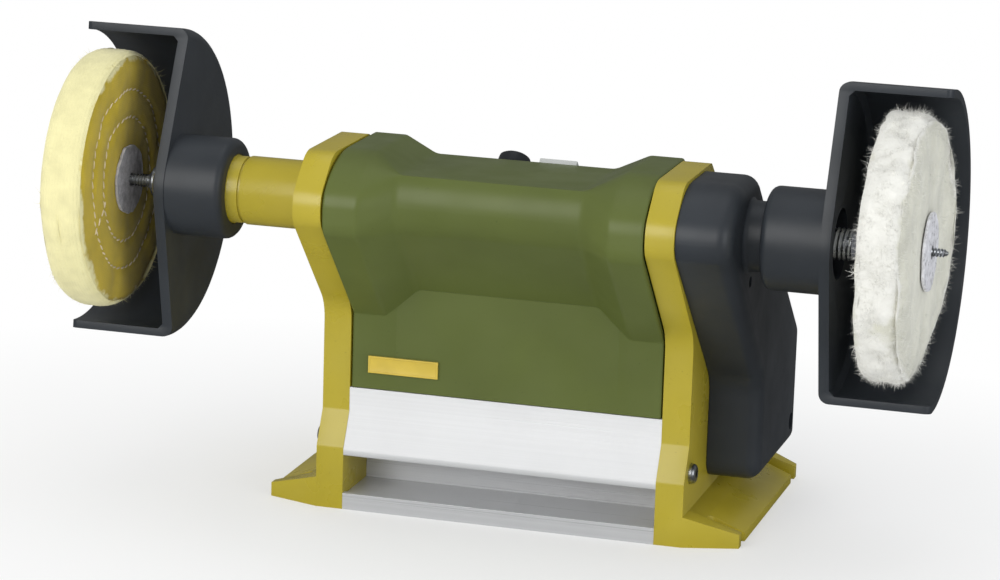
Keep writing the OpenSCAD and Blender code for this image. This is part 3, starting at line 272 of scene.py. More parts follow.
def moulded(name, base, roughness, grain):
    """Moulded plastic: a fine eroded grain with faint rubbed patches."""
    make = Finish(name, roughness, Specular_IOR_Level=0.4)
    shaded = make.mottled(make.grain(30, 4), 0.35, 0.65, base, 0.9, 1.1)
    pits = make.bump(make.grain(2300, 2, 0.6), grain, 0.00012)
    waves = make.bump(make.grain(140, 2), 0.05, 0.0004, Normal=pits)
    make.done(shaded, waves, make.grain(45, 4), roughness - 0.06, roughness + 0.08)


def extruded(name, base):
    """Anodised aluminium with drawn lines along X."""
    make = Finish(name, 0.32, 0.3)
    drawn = make.grain(1, 3, 0.6, make.moved(scale=(3, 900, 900)))
    broad = make.grain(1, 2, 0.5, make.moved(scale=(2, 160, 160)))
    shaded = make.mottled(drawn, 0.3, 0.7, base, 0.92, 1.0)
    shaded = make.darkened(shaded, make.grain(35, 5), 0.5, 0.72, 0.12, darker(base, 0.7))
    lines = make.bump(broad, 0.05, 0.0003, Normal=make.bump(drawn, 0.10, 0.0001))
    make.done(shaded, lines, drawn, 0.26, 0.38)


def machined(name, base):
    """Turned metal: fine rings round the spindle axis and light scratches."""
    make = Finish(name, 0.28, 1.0)
    rings = make.grain(1, 2, 0.5, make.moved(scale=(2600, 60, 60)))
    scratch = make.grain(1, 4, 0.6, make.moved(scale=(120, 900, 300), turn=(0.3, 0.2, 0.5)))
    shaded = make.mottled(make.grain(90, 4), 0.35, 0.7, base, 1.0, 0.8)
    make.done(shaded, make.bump(rings, 0.12, 0.00008), scratch, 0.21, 0.40)


def cast_plain(name, base, roughness, metallic):
    """Plain finish of the inner works: mottled colour and a fine surface."""
    make = Finish(name, roughness, metallic)
    shaded = make.mottled(make.grain(75, 4), 0.3, 0.7, base, 0.86, 1.08)
    bumps = make.bump(make.grain(1200, 2), 0.12, 0.0001)
    make.done(shaded, bumps, make.grain(300, 3), roughness - 0.06, roughness + 0.08)


def woven(name, face, rim, edge, ragged, sheen, coarse):
    """Cloth of a wheel: woven faces, a worn rim beyond the radius edge, stained patches and upright
    streaks of painted fold shade.
    """
    make = Finish(name, 0.9, Sheen_Weight=sheen, Sheen_Roughness=0.5, Specular_IOR_Level=0.15)
    centred = make.moved(move=(0, -SPINDLE_Y * MM, -SPINDLE_Z * MM))
    across = make.put("ShaderNodeVectorMath", centred, (0, 1, 1), operation="MULTIPLY")
    radius = make.put("ShaderNodeVectorMath", across, operation="LENGTH", out="Value")
    wander = make.times(make.calc("SUBTRACT", make.grain(45, 5, 0.65), 0.5), ragged)
    worn = make.spread(make.calc("ADD", radius, wander), edge * MM - 0.0007, edge * MM + 0.0008)
    blotch = make.grain(70, 5, 0.6)
    cloth = make.mottled(blotch, 0.3, 0.7, face, 0.84, 1.12)
    # Painted shade: darker upright streaks stand in for the shadow in the cloth's folds.
    fold_shade_streaks = make.grain(1, 3, 0.6, make.moved(scale=(30, 150, 60)))
    cloth = make.darkened(cloth, fold_shade_streaks, 0.45, 0.75, 0.3, darker(face, 0.72))
    edging = make.mottled(make.grain(160, 4), 0.3, 0.75, rim, 1.0, 0.86)
    weave = make.times(make.bands(430, "Y", 0.6), make.bands(430, "Z", 0.6))
    normal = make.bump(weave, 0.25 * coarse, 0.00025)
    normal = make.bump(make.grain(900, 4, 0.7), 0.35 * coarse, 0.0004, Normal=normal)
    make.done(make.blend(worn, cloth, edging), normal, blotch, 0.82, 0.98)


def thread_cloth(name, base):
    """Twisted thread and loose fibres."""
    make = Finish(name, 0.85, Sheen_Weight=0.3)
    shaded = make.mottled(make.grain(240, 3), 0.3, 0.7, base, 0.75, 1.1)
    make.done(shaded, make.bump(make.bands(900, "DIAGONAL"), 0.3, 0.0002))


def fibre_disc(name, base, roughness, coarse):
    """Pressed washer: speckled fibres on a centre disc."""
    make = Finish(name, roughness)
    speck = make.grain(420, 5, 0.75)
    shaded = make.mottled(speck, 0.34, 0.68, base, 0.62, 1.2)
    shaded = make.darkened(shaded, make.grain(120, 3), 0.5, 0.75, 0.35, darker(base, 0.6))
    dents = make.bump(make.grain(260, 4, 0.6), coarse, 0.0006)
    normal = make.bump(speck, coarse * 0.8, 0.0004, Normal=dents)
    make.done(shaded, normal, speck, roughness - 0.08, roughness + 0.1)


def plate_paint(name, base):
    """Painted metal plate, left bare."""
    make = Finish(name, 0.35)
    shaded = make.mottled(make.grain(90, 4), 0.35, 0.7, base, 1.0, 0.85)
    make.done(shaded, make.bump(make.grain(1500, 2), 0.06, 0.0001), make.grain(200, 2), 0.3, 0.45)


def make_finishes():
    enamel("Olive enamel", shade("paint"), 0.30, 0.6)
    enamel("Green shell", shade("shell"), 0.36, 0.3)
    moulded("Black moulding", shade("black"), 0.40, 0.16)
    moulded("Deep black moulding", darker(shade("black"), 0.55), 0.34, 0.1)
    moulded("Grey frame", tint("#b9bbb9"), 0.4, 0.1)
    extruded("Drawn aluminium", shade("aluminium"))
    machined("Bright steel", shade("steel"))
    woven("Yellow cloth", shade("yellow_face"), shade("yellow_rim"), 46.9, 0.016, 0.2, 1.0)
    woven("White cloth", shade("white_face"), shade("white_rim"), 47.2, 0.012, 0.4, 0.6)
    thread_cloth("Yellow thread", shade("yellow_thread"))
    thread_cloth("Yellow fibre", shade("yellow_rim"))
    thread_cloth("White fibre", shade("white_rim"))
    fibre_disc("Fibre disc", shade("disc_dark"), 0.75, 0.5)
    fibre_disc("Light disc", shade("disc_light"), 0.3, 0.22)
    plate_paint("Bare badge", tint("#d2b748"))
    inner = {
        "Zinc plating": ("#86898d", 0.38, 0.9), "Belt rubber": ("#1d1e20", 0.7, 0.0),
        "Ferrite": ("#2c2c2e", 0.6, 0.1), "Sintered bronze": ("#a4804a", 0.45, 0.8),
        "Brass": ("#b89a4f", 0.35, 0.9), "Carbon": ("#1a1a1b", 0.5, 0.1),
        "Board green": ("#2f5b39", 0.4, 0.0), "Board parts": ("#2c3050", 0.35, 0.0),
        "Turned aluminium": ("#a9acb0", 0.3, 1.0), "Copper bars": ("#b06b46", 0.35, 0.95),
        "Fan plastic": ("#45484c", 0.5, 0.0), "Wound armature": ("#7d5a3c", 0.45, 0.5),
    }
    for name, (code, rough, metal) in inner.items():
        cast_plain(name, tint(code), rough, metal)


# Meshes

def finish(name):
    return bpy.data.materials[name]


def new_object(name, data):
    made = bpy.data.objects.new(name, data)
    bpy.context.scene.collection.objects.link(made)
    return made


def from_points(name, points, edges=(), faces=()):
    """Object from points in millimetres."""
    mesh = bpy.data.meshes.new(name)
    mesh.from_pydata([Vector(p) * MM for p in points], edges, faces)
    mesh.validate()
    return new_object(name, mesh)


def clean(made, weld=1e-6, outward=True):
    """Merges doubled points and points the faces outwards."""
    bm = bmesh.new()
    bm.from_mesh(made.data)
    bmesh.ops.remove_doubles(bm, verts=bm.verts, dist=weld)
    if outward:
        bmesh.ops.recalc_face_normals(bm, faces=bm.faces)
    bm.to_mesh(made.data)
    bm.free()
    return made


def solid(name, points, faces):
    return clean(from_points(name, points, faces=faces))


def finished(made, body, look, node=None, angle=32):
    """Shades a piece, gives it its finish and says what it rides on and stands for."""
    made.data.materials.clear()
    made.data.materials.append(finish(look))
    made.data.shade_smooth()
    made.data.set_sharp_from_angle(angle=math.radians(angle))
    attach(made, body)
    if node:
        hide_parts(node)


def ease(bm, width, segments, wanted=None):
    """Rounds the sharp edges, or those that wanted picks, by a width in millimetres."""
    picked = []
    for edge in bm.edges:
        if len(edge.link_faces) == 2 and math.degrees(edge.calc_face_angle(0.0)) > SHARP_EDGE:
            middle = (edge.verts[0].co + edge.verts[1].co) / 2 / MM
            if not wanted or wanted(middle, edge):
                picked.append(edge)
    if picked:
        bmesh.ops.bevel(bm, geom=picked, offset=width * MM, offset_type="OFFSET", segments=segments,
                        profile=0.5, affect="EDGES", clamp_overlap=True, material=-1)


def from_bmesh(name, bm):
    mesh = bpy.data.meshes.new(name)
    bm.to_mesh(mesh)
    bm.free()
    return new_object(name, mesh)


def dressed(node, name, look, slot, *passes, body="machine", angle=32):
    """A node's own shape with its flat faces joined, its edges eased and a finish."""
    bm = bmesh.new()
    bm.from_mesh(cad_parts[node].data)
    bmesh.ops.remove_doubles(bm, verts=bm.verts, dist=3e-6)
    bmesh.ops.dissolve_limit(bm, angle_limit=math.radians(FLAT_FACE), verts=bm.verts,
                             edges=bm.edges)
    for easing in passes:
        ease(bm, *easing)
    finished(from_bmesh(name, bm), body, look, node, angle)


def sunk(points, depths):
    """Outline with each side moved inwards by its depth; the points run anticlockwise."""
    lines = []
    for i, point in enumerate(points):
        start, end = Vector(point), Vector(points[(i + 1) % len(points)])
        way = (end - start).normalized()
        lines.append((start + Vector((-way.y, way.x)) * depths[i], way))
    made = []
    for i in range(len(points)):
        (p, d), (q, e) = lines[i - 1], lines[i]
        gap = q - p
        made.append(p + d * ((gap.x * e.y - gap.y * e.x) / (d.x * e.y - d.y * e.x)))
    return made


def rounded(points, radii, steps):
    """Outline with round corners, each with its own count of steps."""
    count, made = len(points), []
    sides = [(points[i - 1] - point, points[(i + 1) % count] - point) for i, point in enumerate(points)]
    halves = [back.angle(ahead) / 2 for back, ahead in sides]
    reach = [radius / math.tan(half) if radius else 0.0 for radius, half in zip(radii, halves)]
    for i, (point, (back, ahead)) in enumerate(zip(points, sides)):
        if not radii[i]:
            made.append(point.copy())
            continue
        room = min(back.length / max(reach[i] + reach[i - 1], 1e-9),
                   ahead.length / max(reach[i] + reach[(i + 1) % count], 1e-9), 1.0) * 0.995
        radius, back, ahead = radii[i] * room, back.normalized(), ahead.normalized()
        centre = point + (back + ahead).normalized() * radius / math.sin(halves[i])
        start = point + back * reach[i] * room - centre
        stop = point + ahead * reach[i] * room - centre
        sweep = math.atan2(start.x * stop.y - start.y * stop.x, start.dot(stop))
        base = math.atan2(start.y, start.x)
        for k in range(steps[i] + 1):
            angle = base + sweep * k / steps[i]
            made.append(centre + Vector((math.cos(angle), math.sin(angle))) * radius)
    return made


def around(steps):
    return [2 * math.pi * k / steps for k in range(steps)]


def circle(radius, steps):
    return [(radius * math.cos(angle), radius * math.sin(angle)) for angle in around(steps)]


def on_spindle(x, r, angle):
    """Point at x along the spindle, r away from it."""
    return x, SPINDLE_Y + r * math.cos(angle), SPINDLE_Z + r * math.sin(angle)


def skin(rows, count, rows_closed=False, count_closed=True):
    """Faces over rows of equal count."""
    faces = []
    for j in range(rows if rows_closed else rows - 1):
        here, ahead = j * count, (j + 1) % rows * count
        for i in range(count if count_closed else count - 1):
            k = (i + 1) % count
            faces.append((here + i, here + k, ahead + k, ahead + i))
    return faces


def loft(rings, closed_ends=True):
    """Points and faces of a skin over rings of equal count."""
    count, points = len(rings[0]), [p for ring in rings for p in ring]
    faces = skin(len(rings), count)
    if closed_ends:
        faces += [tuple(reversed(range(count))), tuple(range(len(points) - count, len(points)))]
    return points, faces


def turned(profile, steps, shift=None):
    """Solid of revolution about the spindle from a closed profile of (x, r); shift may move a point."""
    points = []
    for angle in around(steps):
        for x, r in profile:
            points.append(on_spindle(*(shift(x, r, angle) if shift else (x, r)), angle))
    return points, skin(steps, len(profile), True)


def applied(made, step):
    """Keeps what a modifier makes of an object as its plain mesh."""
    bpy.context.view_layer.update()
    mesh = bpy.data.meshes.new_from_object(made.evaluated_get(bpy.context.evaluated_depsgraph_get()))
    made.modifiers.remove(step)
    made.data = mesh
    return made


def combine(made, other, operation="DIFFERENCE"):
    """Exact union or difference, after which the other object is deleted."""
    step = made.modifiers.new("join", "BOOLEAN")
    step.object, step.operation, step.solver = other, operation, "EXACT"
    applied(made, step)
    bpy.data.objects.remove(other)


def rod(made, x0, x1, y, z, radius, operation="DIFFERENCE", steps=48):
    """Adds a solid cylinder along X to an object, or cuts it out."""
    rings = [[(x, y + across, z + up) for across, up in circle(radius, steps)] for x in (x0, x1)]
    combine(made, solid("rod", *loft(rings)), operation)


def joined(name, parts):
    """One object from several."""
    bm = bmesh.new()
    for part in parts:
        bm.from_mesh(part.data)
        bpy.data.objects.remove(part)
    return from_bmesh(name, bm)


# Node trees for what repeats

class Growth(NodeMaker):
    """A geometry tree with named inputs."""

    def __init__(self, name, **inputs):
        super().__init__(bpy.data.node_groups.new(name, "GeometryNodeTree"))
        for label, kind in {"Geometry": "Geometry", **inputs, "Material": "Material"}.items():
            self.socket(label, "INPUT", kind)
        self.socket("Geometry", "OUTPUT", "Geometry")
        self.given = self.tree.nodes.new("NodeGroupInput").outputs

    def socket(self, label, way, kind):
        self.tree.interface.new_socket(name=label, in_out=way, socket_type="NodeSocket" + kind)

    def chance(self, kind, low, high):
        """A random value between two limits."""
        return self.put("FunctionNodeRandomValue", data_type=kind, Min=low, Max=high,
                        Seed=self.given["Seed"], out="Value")

    def end(self, geometry):
        real = self.put("GeometryNodeRealizeInstances", geometry)
        shown = self.put("GeometryNodeSetMaterial", Geometry=real, Material=self.given["Material"])
        self.put("NodeGroupOutput", shown)
        return self.tree


def stitch_tree(name):
    """Slanted stitches along a path that lies in a plane square to X."""
    grow = Growth(name, Pitch="Float", Length="Float", Width="Float", Slant="Float", Seed="Int")
    given = grow.given
    path = grow.put("GeometryNodeMeshToCurve", given["Geometry"])
    evenly = grow.put("GeometryNodeResampleCurve", mode="LENGTH", Curve=path, Length=given["Pitch"])
    stitch = grow.put("GeometryNodeMeshUVSphere", 8, 5, 0.5)
    size = grow.xyz(given["Length"], given["Width"], given["Width"])
    sized = grow.put("GeometryNodeTransform", Geometry=stitch, Scale=size)
    tangent = grow.put("GeometryNodeInputTangent")
    along = grow.put("FunctionNodeAlignRotationToVector", axis="X", Vector=tangent)
    lean = grow.calc("ADD", given["Slant"], grow.chance("FLOAT", -0.16, 0.16))
    about = grow.put("FunctionNodeAxisAngleToRotation", (1, 0, 0), lean)
    leaned = grow.put("FunctionNodeRotateRotation", along, about, rotation_space="GLOBAL")
    placed = grow.put("GeometryNodeInstanceOnPoints", Points=evenly, Instance=sized, Rotation=leaned)
    return grow.end(grow.put("GeometryNodeSetShadeSmooth", placed))


def screw_tree(name):
    """Round-edged screw heads with a hexagon socket, standing on points."""
    grow = Growth(name, Radius="Float", Height="Float", Socket="Float")
    given = grow.given
    head = grow.put("GeometryNodeMeshCylinder", fill_type="NGON", Vertices=40, Side_Segments=8,
                    Fill_Segments=1, Radius=1.0, Depth=1.0)
    x, y, z = grow.put("ShaderNodeSeparateXYZ", grow.put("GeometryNodeInputPosition")).node.outputs
    height = grow.calc("ADD", z, 0.5)
    inset = grow.times(grow.calc("POWER", height, 4.0), -0.26)
    wide = grow.times(grow.calc("ADD", inset, 1.0), given["Radius"])
    spot = grow.xyz(grow.times(x, wide), grow.times(y, wide), grow.times(height, given["Height"]))
    shaped = grow.put("GeometryNodeSetPosition", Geometry=head, Position=spot)
    hexagon = grow.put("GeometryNodeMeshCylinder", fill_type="NGON", Vertices=6, Radius=given["Socket"],
                       Depth=given["Height"])
    lift = grow.xyz(z=given["Height"])
    raised = grow.put("GeometryNodeTransform", Geometry=hexagon, Translation=lift)
    cut = grow.put("GeometryNodeMeshBoolean", shaped, raised, operation="DIFFERENCE", solver="EXACT")
    outward = grow.put("GeometryNodeInputNamedAttribute", data_type="FLOAT_VECTOR", Name="outward")
    stand = grow.put("FunctionNodeAlignRotationToVector", axis="Z", Vector=outward)
    points = grow.put("GeometryNodeMeshToPoints", given["Geometry"])
    placed = grow.put("GeometryNodeInstanceOnPoints", Points=points, Instance=cut, Rotation=stand)
    return grow.end(placed)


def fluff_tree(name):
    """Loose tapering fibres on cloth, thicker where the weight is high and longer in tufts."""
    grow = Growth(name, Density="Float", Length="Float", Seed="Int")
    given = grow.given
    weight = grow.put("GeometryNodeInputNamedAttribute", data_type="FLOAT", Name="fluff")
    roots = grow.put("GeometryNodeDistributePointsOnFaces", distribute_method="RANDOM",
                     Mesh=given["Geometry"], Density=grow.times(weight, given["Density"]),
                     Seed=given["Seed"])
    fibre = grow.put("GeometryNodeMeshCone", Vertices=3, Side_Segments=2, Fill_Segments=1,
                     Radius_Top=0.0, Radius_Bottom=0.03, Depth=1.0)
    height = grow.put("ShaderNodeSeparateXYZ", grow.put("GeometryNodeInputPosition"), out="Z")
    side = grow.times(grow.calc("POWER", height, 2.0), 0.6)
    bent = grow.put("GeometryNodeSetPosition", Geometry=fibre, Offset=grow.xyz(side, z=-0.08))
    tilt = grow.chance("FLOAT_VECTOR", (-1.0, -1.0, -3.1), (1.0, 1.0, 3.1))
    turn = grow.put("FunctionNodeRotateRotation", roots.node.outputs["Rotation"], tilt,
                    rotation_space="LOCAL")
    tuft = grow.put("ShaderNodeTexNoise", Scale=190.0, Detail=1.0)
    tall = grow.times(grow.chance("FLOAT", 0.35, 1.0), grow.spread(tuft, 0.38, 0.66, 0.4, 1.2))
    return grow.end(grow.put("GeometryNodeInstanceOnPoints", Points=roots, Instance=bent, Rotation=turn,
                             Scale=grow.times(tall, given["Length"])))


def rib_tree(name):
    """Ribs round a knob whose axis is Z."""
    grow = Growth(name, Count="Int", Ring="Float", Radius="Float", Height="Float")
    given = grow.given
    ring = grow.put("GeometryNodeMeshCircle", given["Count"], given["Ring"])
    rib = grow.put("GeometryNodeMeshUVSphere", 10, 8, 1.0)
    size = grow.xyz(given["Radius"], given["Radius"], grow.times(given["Height"], 0.5))
    sized = grow.put("GeometryNodeTransform", Geometry=rib, Scale=size)
    ribs = grow.put("GeometryNodeInstanceOnPoints", Points=ring, Instance=sized)
    both = grow.put("GeometryNodeJoinGeometry", ribs)
    grow.tree.links.new(given["Geometry"], both.node.inputs[0])
    return grow.end(both)


TREES = {"Stitch line": stitch_tree, "Screw heads": screw_tree, "Fluff": fluff_tree,
         "Knob ribs": rib_tree}


def grown(made, name, look, **values):
    """Runs a tree on an object and keeps the result as its plain mesh."""
    step = made.modifiers.new(name, "NODES")
    step.node_group = bpy.data.node_groups.get(name) or TREES[name](name)
    values["material"] = finish(look)
    for item in step.node_group.interface.items_tree:
        if item.in_out == "INPUT" and item.name.lower() in values:
            step[item.identifier] = values[item.name.lower()]
    return applied(made, step)


# End castings and base

def build_end_plates():
    def on_tube(place, _edge):
        reach = math.hypot(place.y - SPINDLE_Y, place.z - SPINDLE_Z)
        return place.x < -OUTER_X - 0.5 and reach < 16

    def on_casting(place, edge):
        return abs(place.x) < OUTER_X + 22 and not on_tube(place, edge)

    for side in ("left", "right"):
        dressed(side + "_end_plate", side + "_casting", "Olive enamel", "olive_paint",
                (mm("plate_easing"), 3, on_casting), (0.3, 2, on_tube))


def build_base_profile():
    dressed("base_profile", "tray_extrusion", "Drawn aluminium", "bare_aluminium", (0.45, 2), angle=18)


# Housing

SLOPE_DOWN = Vector((0.0, 0.772653, -0.634828))
SLOPE_OUT = Vector((0.0, 0.634828, 0.772653))
KNOB_AT = Vector((-8.5, -24.104, 131.747))
SWITCH_AT = Vector((12.5, -25.263, 132.7))
SHAFT_HOLE_R = 3.7
SWITCH_HOLE = [(-5.9, -8.9), (5.9, -8.9), (5.9, 8.9), (-5.9, 8.9)]


def on_slope(made, centre):
    """Puts a piece on the back slope: X along the spindle, Y up the slope, Z outwards."""
    up, out = -SLOPE_DOWN, SLOPE_OUT
    made.data.transform(Matrix(((1, up.x, out.x, centre.x * MM), (0, up.y, out.y, centre.y * MM),
                                (0, up.z, out.z, centre.z * MM), (0, 0, 0, 1))))
    made.data.update()
    return made


def cut_slope(made, outline, centre):
    """Cuts a hole square to the back slope, from an outline in the slope's own frame."""
    rings = [[(x, y, z) for x, y in outline] for z in (-6, 6)]
    combine(made, on_slope(solid("hole", *loft(rings)), centre))


def clamped(value):
    return min(max(value, 0.0), 1.0)


def waist_share(x):
    """How far the section at x has gone from collar to waist, on a ramp that is round at both ends."""
    share = clamped((COLLAR_X - x) / (COLLAR_X - WAIST_X))
    window = mm("collar_round") + (mm("waist_blend") - mm("collar_round")) * share
    spots = [x + window * k / 4 for k in range(-4, 5)]
    return sum(clamped((COLLAR_X - spot) / (COLLAR_X - WAIST_X)) for spot in spots) / len(spots)


def collar_skin():
    """Outer skin of a collar from its lower back edge over the top to its lower front edge."""
    return rounded([Vector(p) for p in COLLAR_POINTS], COLLAR_RADII, SHELL_STEPS)[1:]


def arc(centre, radius, start, end, steps):
    return [centre + Vector((math.cos(a), math.sin(a))) * radius
            for a in [math.radians(start + (end - start) * k / steps) for k in range(steps + 1)]]


def waist_skin():
    """Skin of the waist, point for point with the collar's. Its nose is a full round under a crease."""
    back = sunk([Vector(p) for p in COLLAR_POINTS], [0, 0] + [WAIST_SINK] * 5 + [0])
    knee = Vector((LEG_Y, WAIST_KNEE))
    rise = (knee.x + knee.y) + WAIST_NOSE_R * math.sqrt(2)
    centre = Vector((WAIST_NOSE_Y + WAIST_NOSE_R, rise - WAIST_NOSE_Y - WAIST_NOSE_R))
    high = math.degrees(math.asin((WAIST_TOP - centre.y) / WAIST_NOSE_R))
    brow = centre + Vector((-math.cos(math.radians(high)), math.sin(math.radians(high)))) * WAIST_NOSE_R
    corners = [Vector((BACK_Y, SHELL_BASE)), back[2], Vector((back[3].x, WAIST_TOP)), brow,
               brow + Vector((-7, -7)), knee]
    steps = SHELL_STEPS[1:5] + [0, SHELL_STEPS[7]]
    base = rounded(corners, [0, 12, 2, 0.8, 0, 1.2], steps)
    split = len(base) - SHELL_STEPS[7] - 2
    head, foot = base[:split], base[split + 1:]
    nose = arc(centre, WAIST_NOSE_R, 180 - high + 3, 180, SHELL_STEPS[5])
    chin = arc(centre, WAIST_NOSE_R, 181, 225, SHELL_STEPS[6])
    return head + nose + chin + foot


def inside(line, wall):
    """The same line, moved inwards by the wall."""
    made = []
    for i, point in enumerate(line):
        way = line[min(i + 1, len(line) - 1)] - line[max(i - 1, 0)]
        made.append(point + Vector((-way.y, way.x)).normalized() * wall)
    made[0].y = made[-1].y = line[0].y
    return made


def shell_ring(x, share, shrink):
    """Closed loop of the housing's wall at x: the outer skin up and over, the inner skin back."""
    outer = [a.lerp(b, share) for a, b in zip(collar_skin(), waist_skin())]
    outer.append(Vector((LEG_Y, SHELL_BASE)))
    outer[0].y = outer[-1].y = SHELL_BASE + SHELL_BASE_EASE
    lining = inside(outer, SHELL_WALL)
    if shrink:
        outer = inside(outer, shrink)
    return [(x, p.x, p.y) for p in outer + lining[::-1]]


def build_housing():
    easing = mm("end_easing")
    end = INNER_X - mm("end_gap")
    marks = [0.0, 6, 12, 18, 24, 28] + [30 + 0.75 * k for k in range(30)]
    marks += [53, 56, 59, 61, end - easing, end - easing * 0.55, end - easing * 0.12, end]
    shrinks = {marks[-3]: easing * 0.12, marks[-2]: easing * 0.45, marks[-1]: easing}
    rings = [shell_ring(x * side, waist_share(x), shrinks.get(x, 0.0))
             for side, row in ((-1, reversed(marks[1:])), (1, marks)) for x in row]
    points, faces = loft(rings, closed_ends=False)
    count = len(rings[0])
    last = len(points) - count
    for i in range(count // 2 - 1):
        j = count - 1 - i
        faces += [(i, i + 1, j - 1, j), (last + i + 1, last + i, last + j, last + j - 1)]
    made = solid("housing", points, faces)
    cut_slope(made, circle(SHAFT_HOLE_R, 32), KNOB_AT)
    cut_slope(made, SWITCH_HOLE, SWITCH_AT)
    clean(made, 2e-6, outward=False)
    finished(made, "machine", "Green shell", "housing_shell", 26)


def build_badge():
    dressed("badge_plate", "badge", "Bare badge", "badge_yellow", (0.18, 2))


# Belt cover

def cover_ring(x, sink):
    outline = sunk([Vector(p) for p in COVER_POINTS], [sink] * 8)
    radii = [r + sink if i == 7 else max(r - sink, 0.8) for i, r in enumerate(COVER_RADII)]
    return [(x, p.x, p.y) for p in rounded(outline, radii, COVER_STEPS)]


def neck_profile():
    flare, foot, end = mm("neck_flare"), COVER_X - 0.4, NECK_END
    fillet = [(foot + flare - flare * math.cos(a), TUBE_R + flare - flare * math.sin(a))
              for a in [math.pi / 2 * k / 6 for k in range(1, 7)]]
    lip = [(end - 0.8, TUBE_R), (end - 0.2, TUBE_R - 0.25), (end, TUBE_R - 0.8)]
    return [(COVER_X - 2, TUBE_R + flare), (foot, TUBE_R + flare), *fillet, *lip, (end, COVER_BORE),
            (COVER_X - 2, COVER_BORE)]


def build_belt_cover():
    round_r, wall, steps = mm("cover_round"), COVER_WALL, 7
    rings = [cover_ring(OUTER_X, 0.25), cover_ring(OUTER_X + 0.3, 0.0)]
    rings += [cover_ring(COVER_X - round_r + round_r * math.sin(a), round_r * (1 - math.cos(a)))
              for a in [math.pi / 2 * k / steps for k in range(steps + 1)]]
    made = solid("belt_cover", *loft(rings))
    hollow = [cover_ring(OUTER_X - 1, wall), cover_ring(COVER_X - round_r, wall),
              cover_ring(COVER_X - 4, wall + 1.2), cover_ring(COVER_X - wall, wall + 4)]
    combine(made, solid("hollow", *loft(hollow)))
    combine(made, solid("neck", *turned(neck_profile(), 96)), "UNION")
    rod(made, OUTER_X, NECK_END + 1, SPINDLE_Y, SPINDLE_Z, COVER_BORE, steps=64)
    for y, z in COVER_SCREWS:
        rod(made, OUTER_X + 0.2, COVER_X - 2, y, z, 4.6, "UNION")
        rod(made, OUTER_X + SCREW_SINK, COVER_X + 1, y, z, 3.5)
    rod(made, COVER_X - 2.2, COVER_X + 1, SPINDLE_Y + 3.5, SPINDLE_Z - 18.6, 2.2)
    clean(made, 2e-6, outward=False)
    finished(made, "machine", "Black moulding", "belt_cover", 30)


# Guards

def guard_local(place, tilt):
    """Place in the guard's own frame: ahead of the axis is negative y."""
    y, z = place.y - SPINDLE_Y, place.z - SPINDLE_Z
    c, s = math.cos(math.radians(tilt)), math.sin(math.radians(tilt))
    return y * c - z * s, y * s + z * c


def build_guards():
    for side, hub, tilt in (("left", LEFT_HUB, 7), ("right", RIGHT_HUB, 5)):
        rim = hub + HUB_L + GUARD_DEPTH

        def reach(place):
            return math.hypot(*guard_local(place, tilt))

        def rim_corner(_place, edge):
            return all(abs(abs(v.co.x / MM) - rim) < 0.2 and
                       abs(guard_local(v.co / MM, tilt)[0] + GUARD_FRONT) < 0.4 for v in edge.verts)

        def hub_end(place, _edge):
            return abs(abs(place.x) - hub) < 0.2 and reach(place) > HUB_R - 1

        def rest(place, _edge):
            return reach(place) > GUARD_BORE

        def bore(place, _edge):
            return reach(place) <= GUARD_BORE and abs(abs(place.x) - hub) < 0.3

        dressed(side + "_guard", side + "_guard_shell", "Black moulding", "black_satin",
                (4.5, 5, rim_corner), (3.2, 5, hub_end), (mm("guard_easing"), 3, rest), (0.4, 1, bore),
                body=side + "_guard_cup", angle=34)


# Wheels

STITCH_RINGS = (35.2, 24.4)
# Where the thread goes from one ring to the other, in Y and Z off the spindle
THREAD_JOINT = [(-23.1, -5.7), (-25.5, -7.6), (-27.5, -9.4), (-29.9, -11.6), (-32.9, -14.5)]


def cloth_wheel(name, x0, side, relief, rim_shape, fray):
    """Cloth body of a wheel, closed at the bore: face, rim and back face, with the amount of loose
    fibres at each point."""
    rim_rows = sizes().ply_count * 4
    face_r = [BORE_R + (FACE_R - BORE_R) * k / 30 for k in range(31)] + [FACE_R + 1.0, FACE_R + 1.8]
    profile = [("near", 0.0, r) for r in face_r]
    profile += [("rim", k / rim_rows, 0.0) for k in range(rim_rows + 1)]
    profile += [("far", 1.0, r) for r in reversed(face_r)]
    steps, points, weights = 256, [], []
    for angle in around(steps):
        for zone, share, r in profile:
            if zone == "rim":
                depth, r = rim_shape(share, angle)
            else:
                depth = relief(r, angle, zone)
                depth = depth if zone == "near" else WHEEL_W - depth
            points.append(on_spindle(side * (x0 + depth), r, angle))
            weights.append(fray(zone, share, r, angle))
    made = from_points(name, points, faces=skin(steps, len(profile), True))
    made.data.attributes.new("fluff", "FLOAT", "POINT").data.foreach_set("value", weights)
    return clean(made)


def bell(r, at, width):
    return math.exp(-((r - at) / width) ** 2)


def wave(angle, seed, scale, x=0.0):
    """Smooth drift round the wheel."""
    return noise.noise(Vector((math.cos(angle) * scale + seed, math.sin(angle) * scale, x)))


def crumple(r, angle, along, across, seed=0.0):
    """Small unevenness of a cloth face."""
    return noise.noise(Vector((r * along, math.cos(angle) * r * across,
                               math.sin(angle) * r * across + seed)))


def yellow_relief(r, angle, zone):
    seed = 3.1 if zone == "near" else 8.4
    depth = 0.25 + sum(0.75 * bell(r, ring, 1.5) for ring in STITCH_RINGS)
    depth -= 0.45 * bell(r, 30, 3.2) + 0.35 * bell(r, 42, 4.0)
    waves = 1.3 * wave(angle, seed, 1.6, r / 60) + 0.7 * wave(angle, seed + 5, 4.2, r / 25)
    depth += clamped((r - 16) / 14) * waves + 0.22 * crumple(r, angle, 0.35, 0.2, seed)
    if r > 44:
        depth += (r - 44) ** 2 * 0.05
    return max(depth, 0.02)


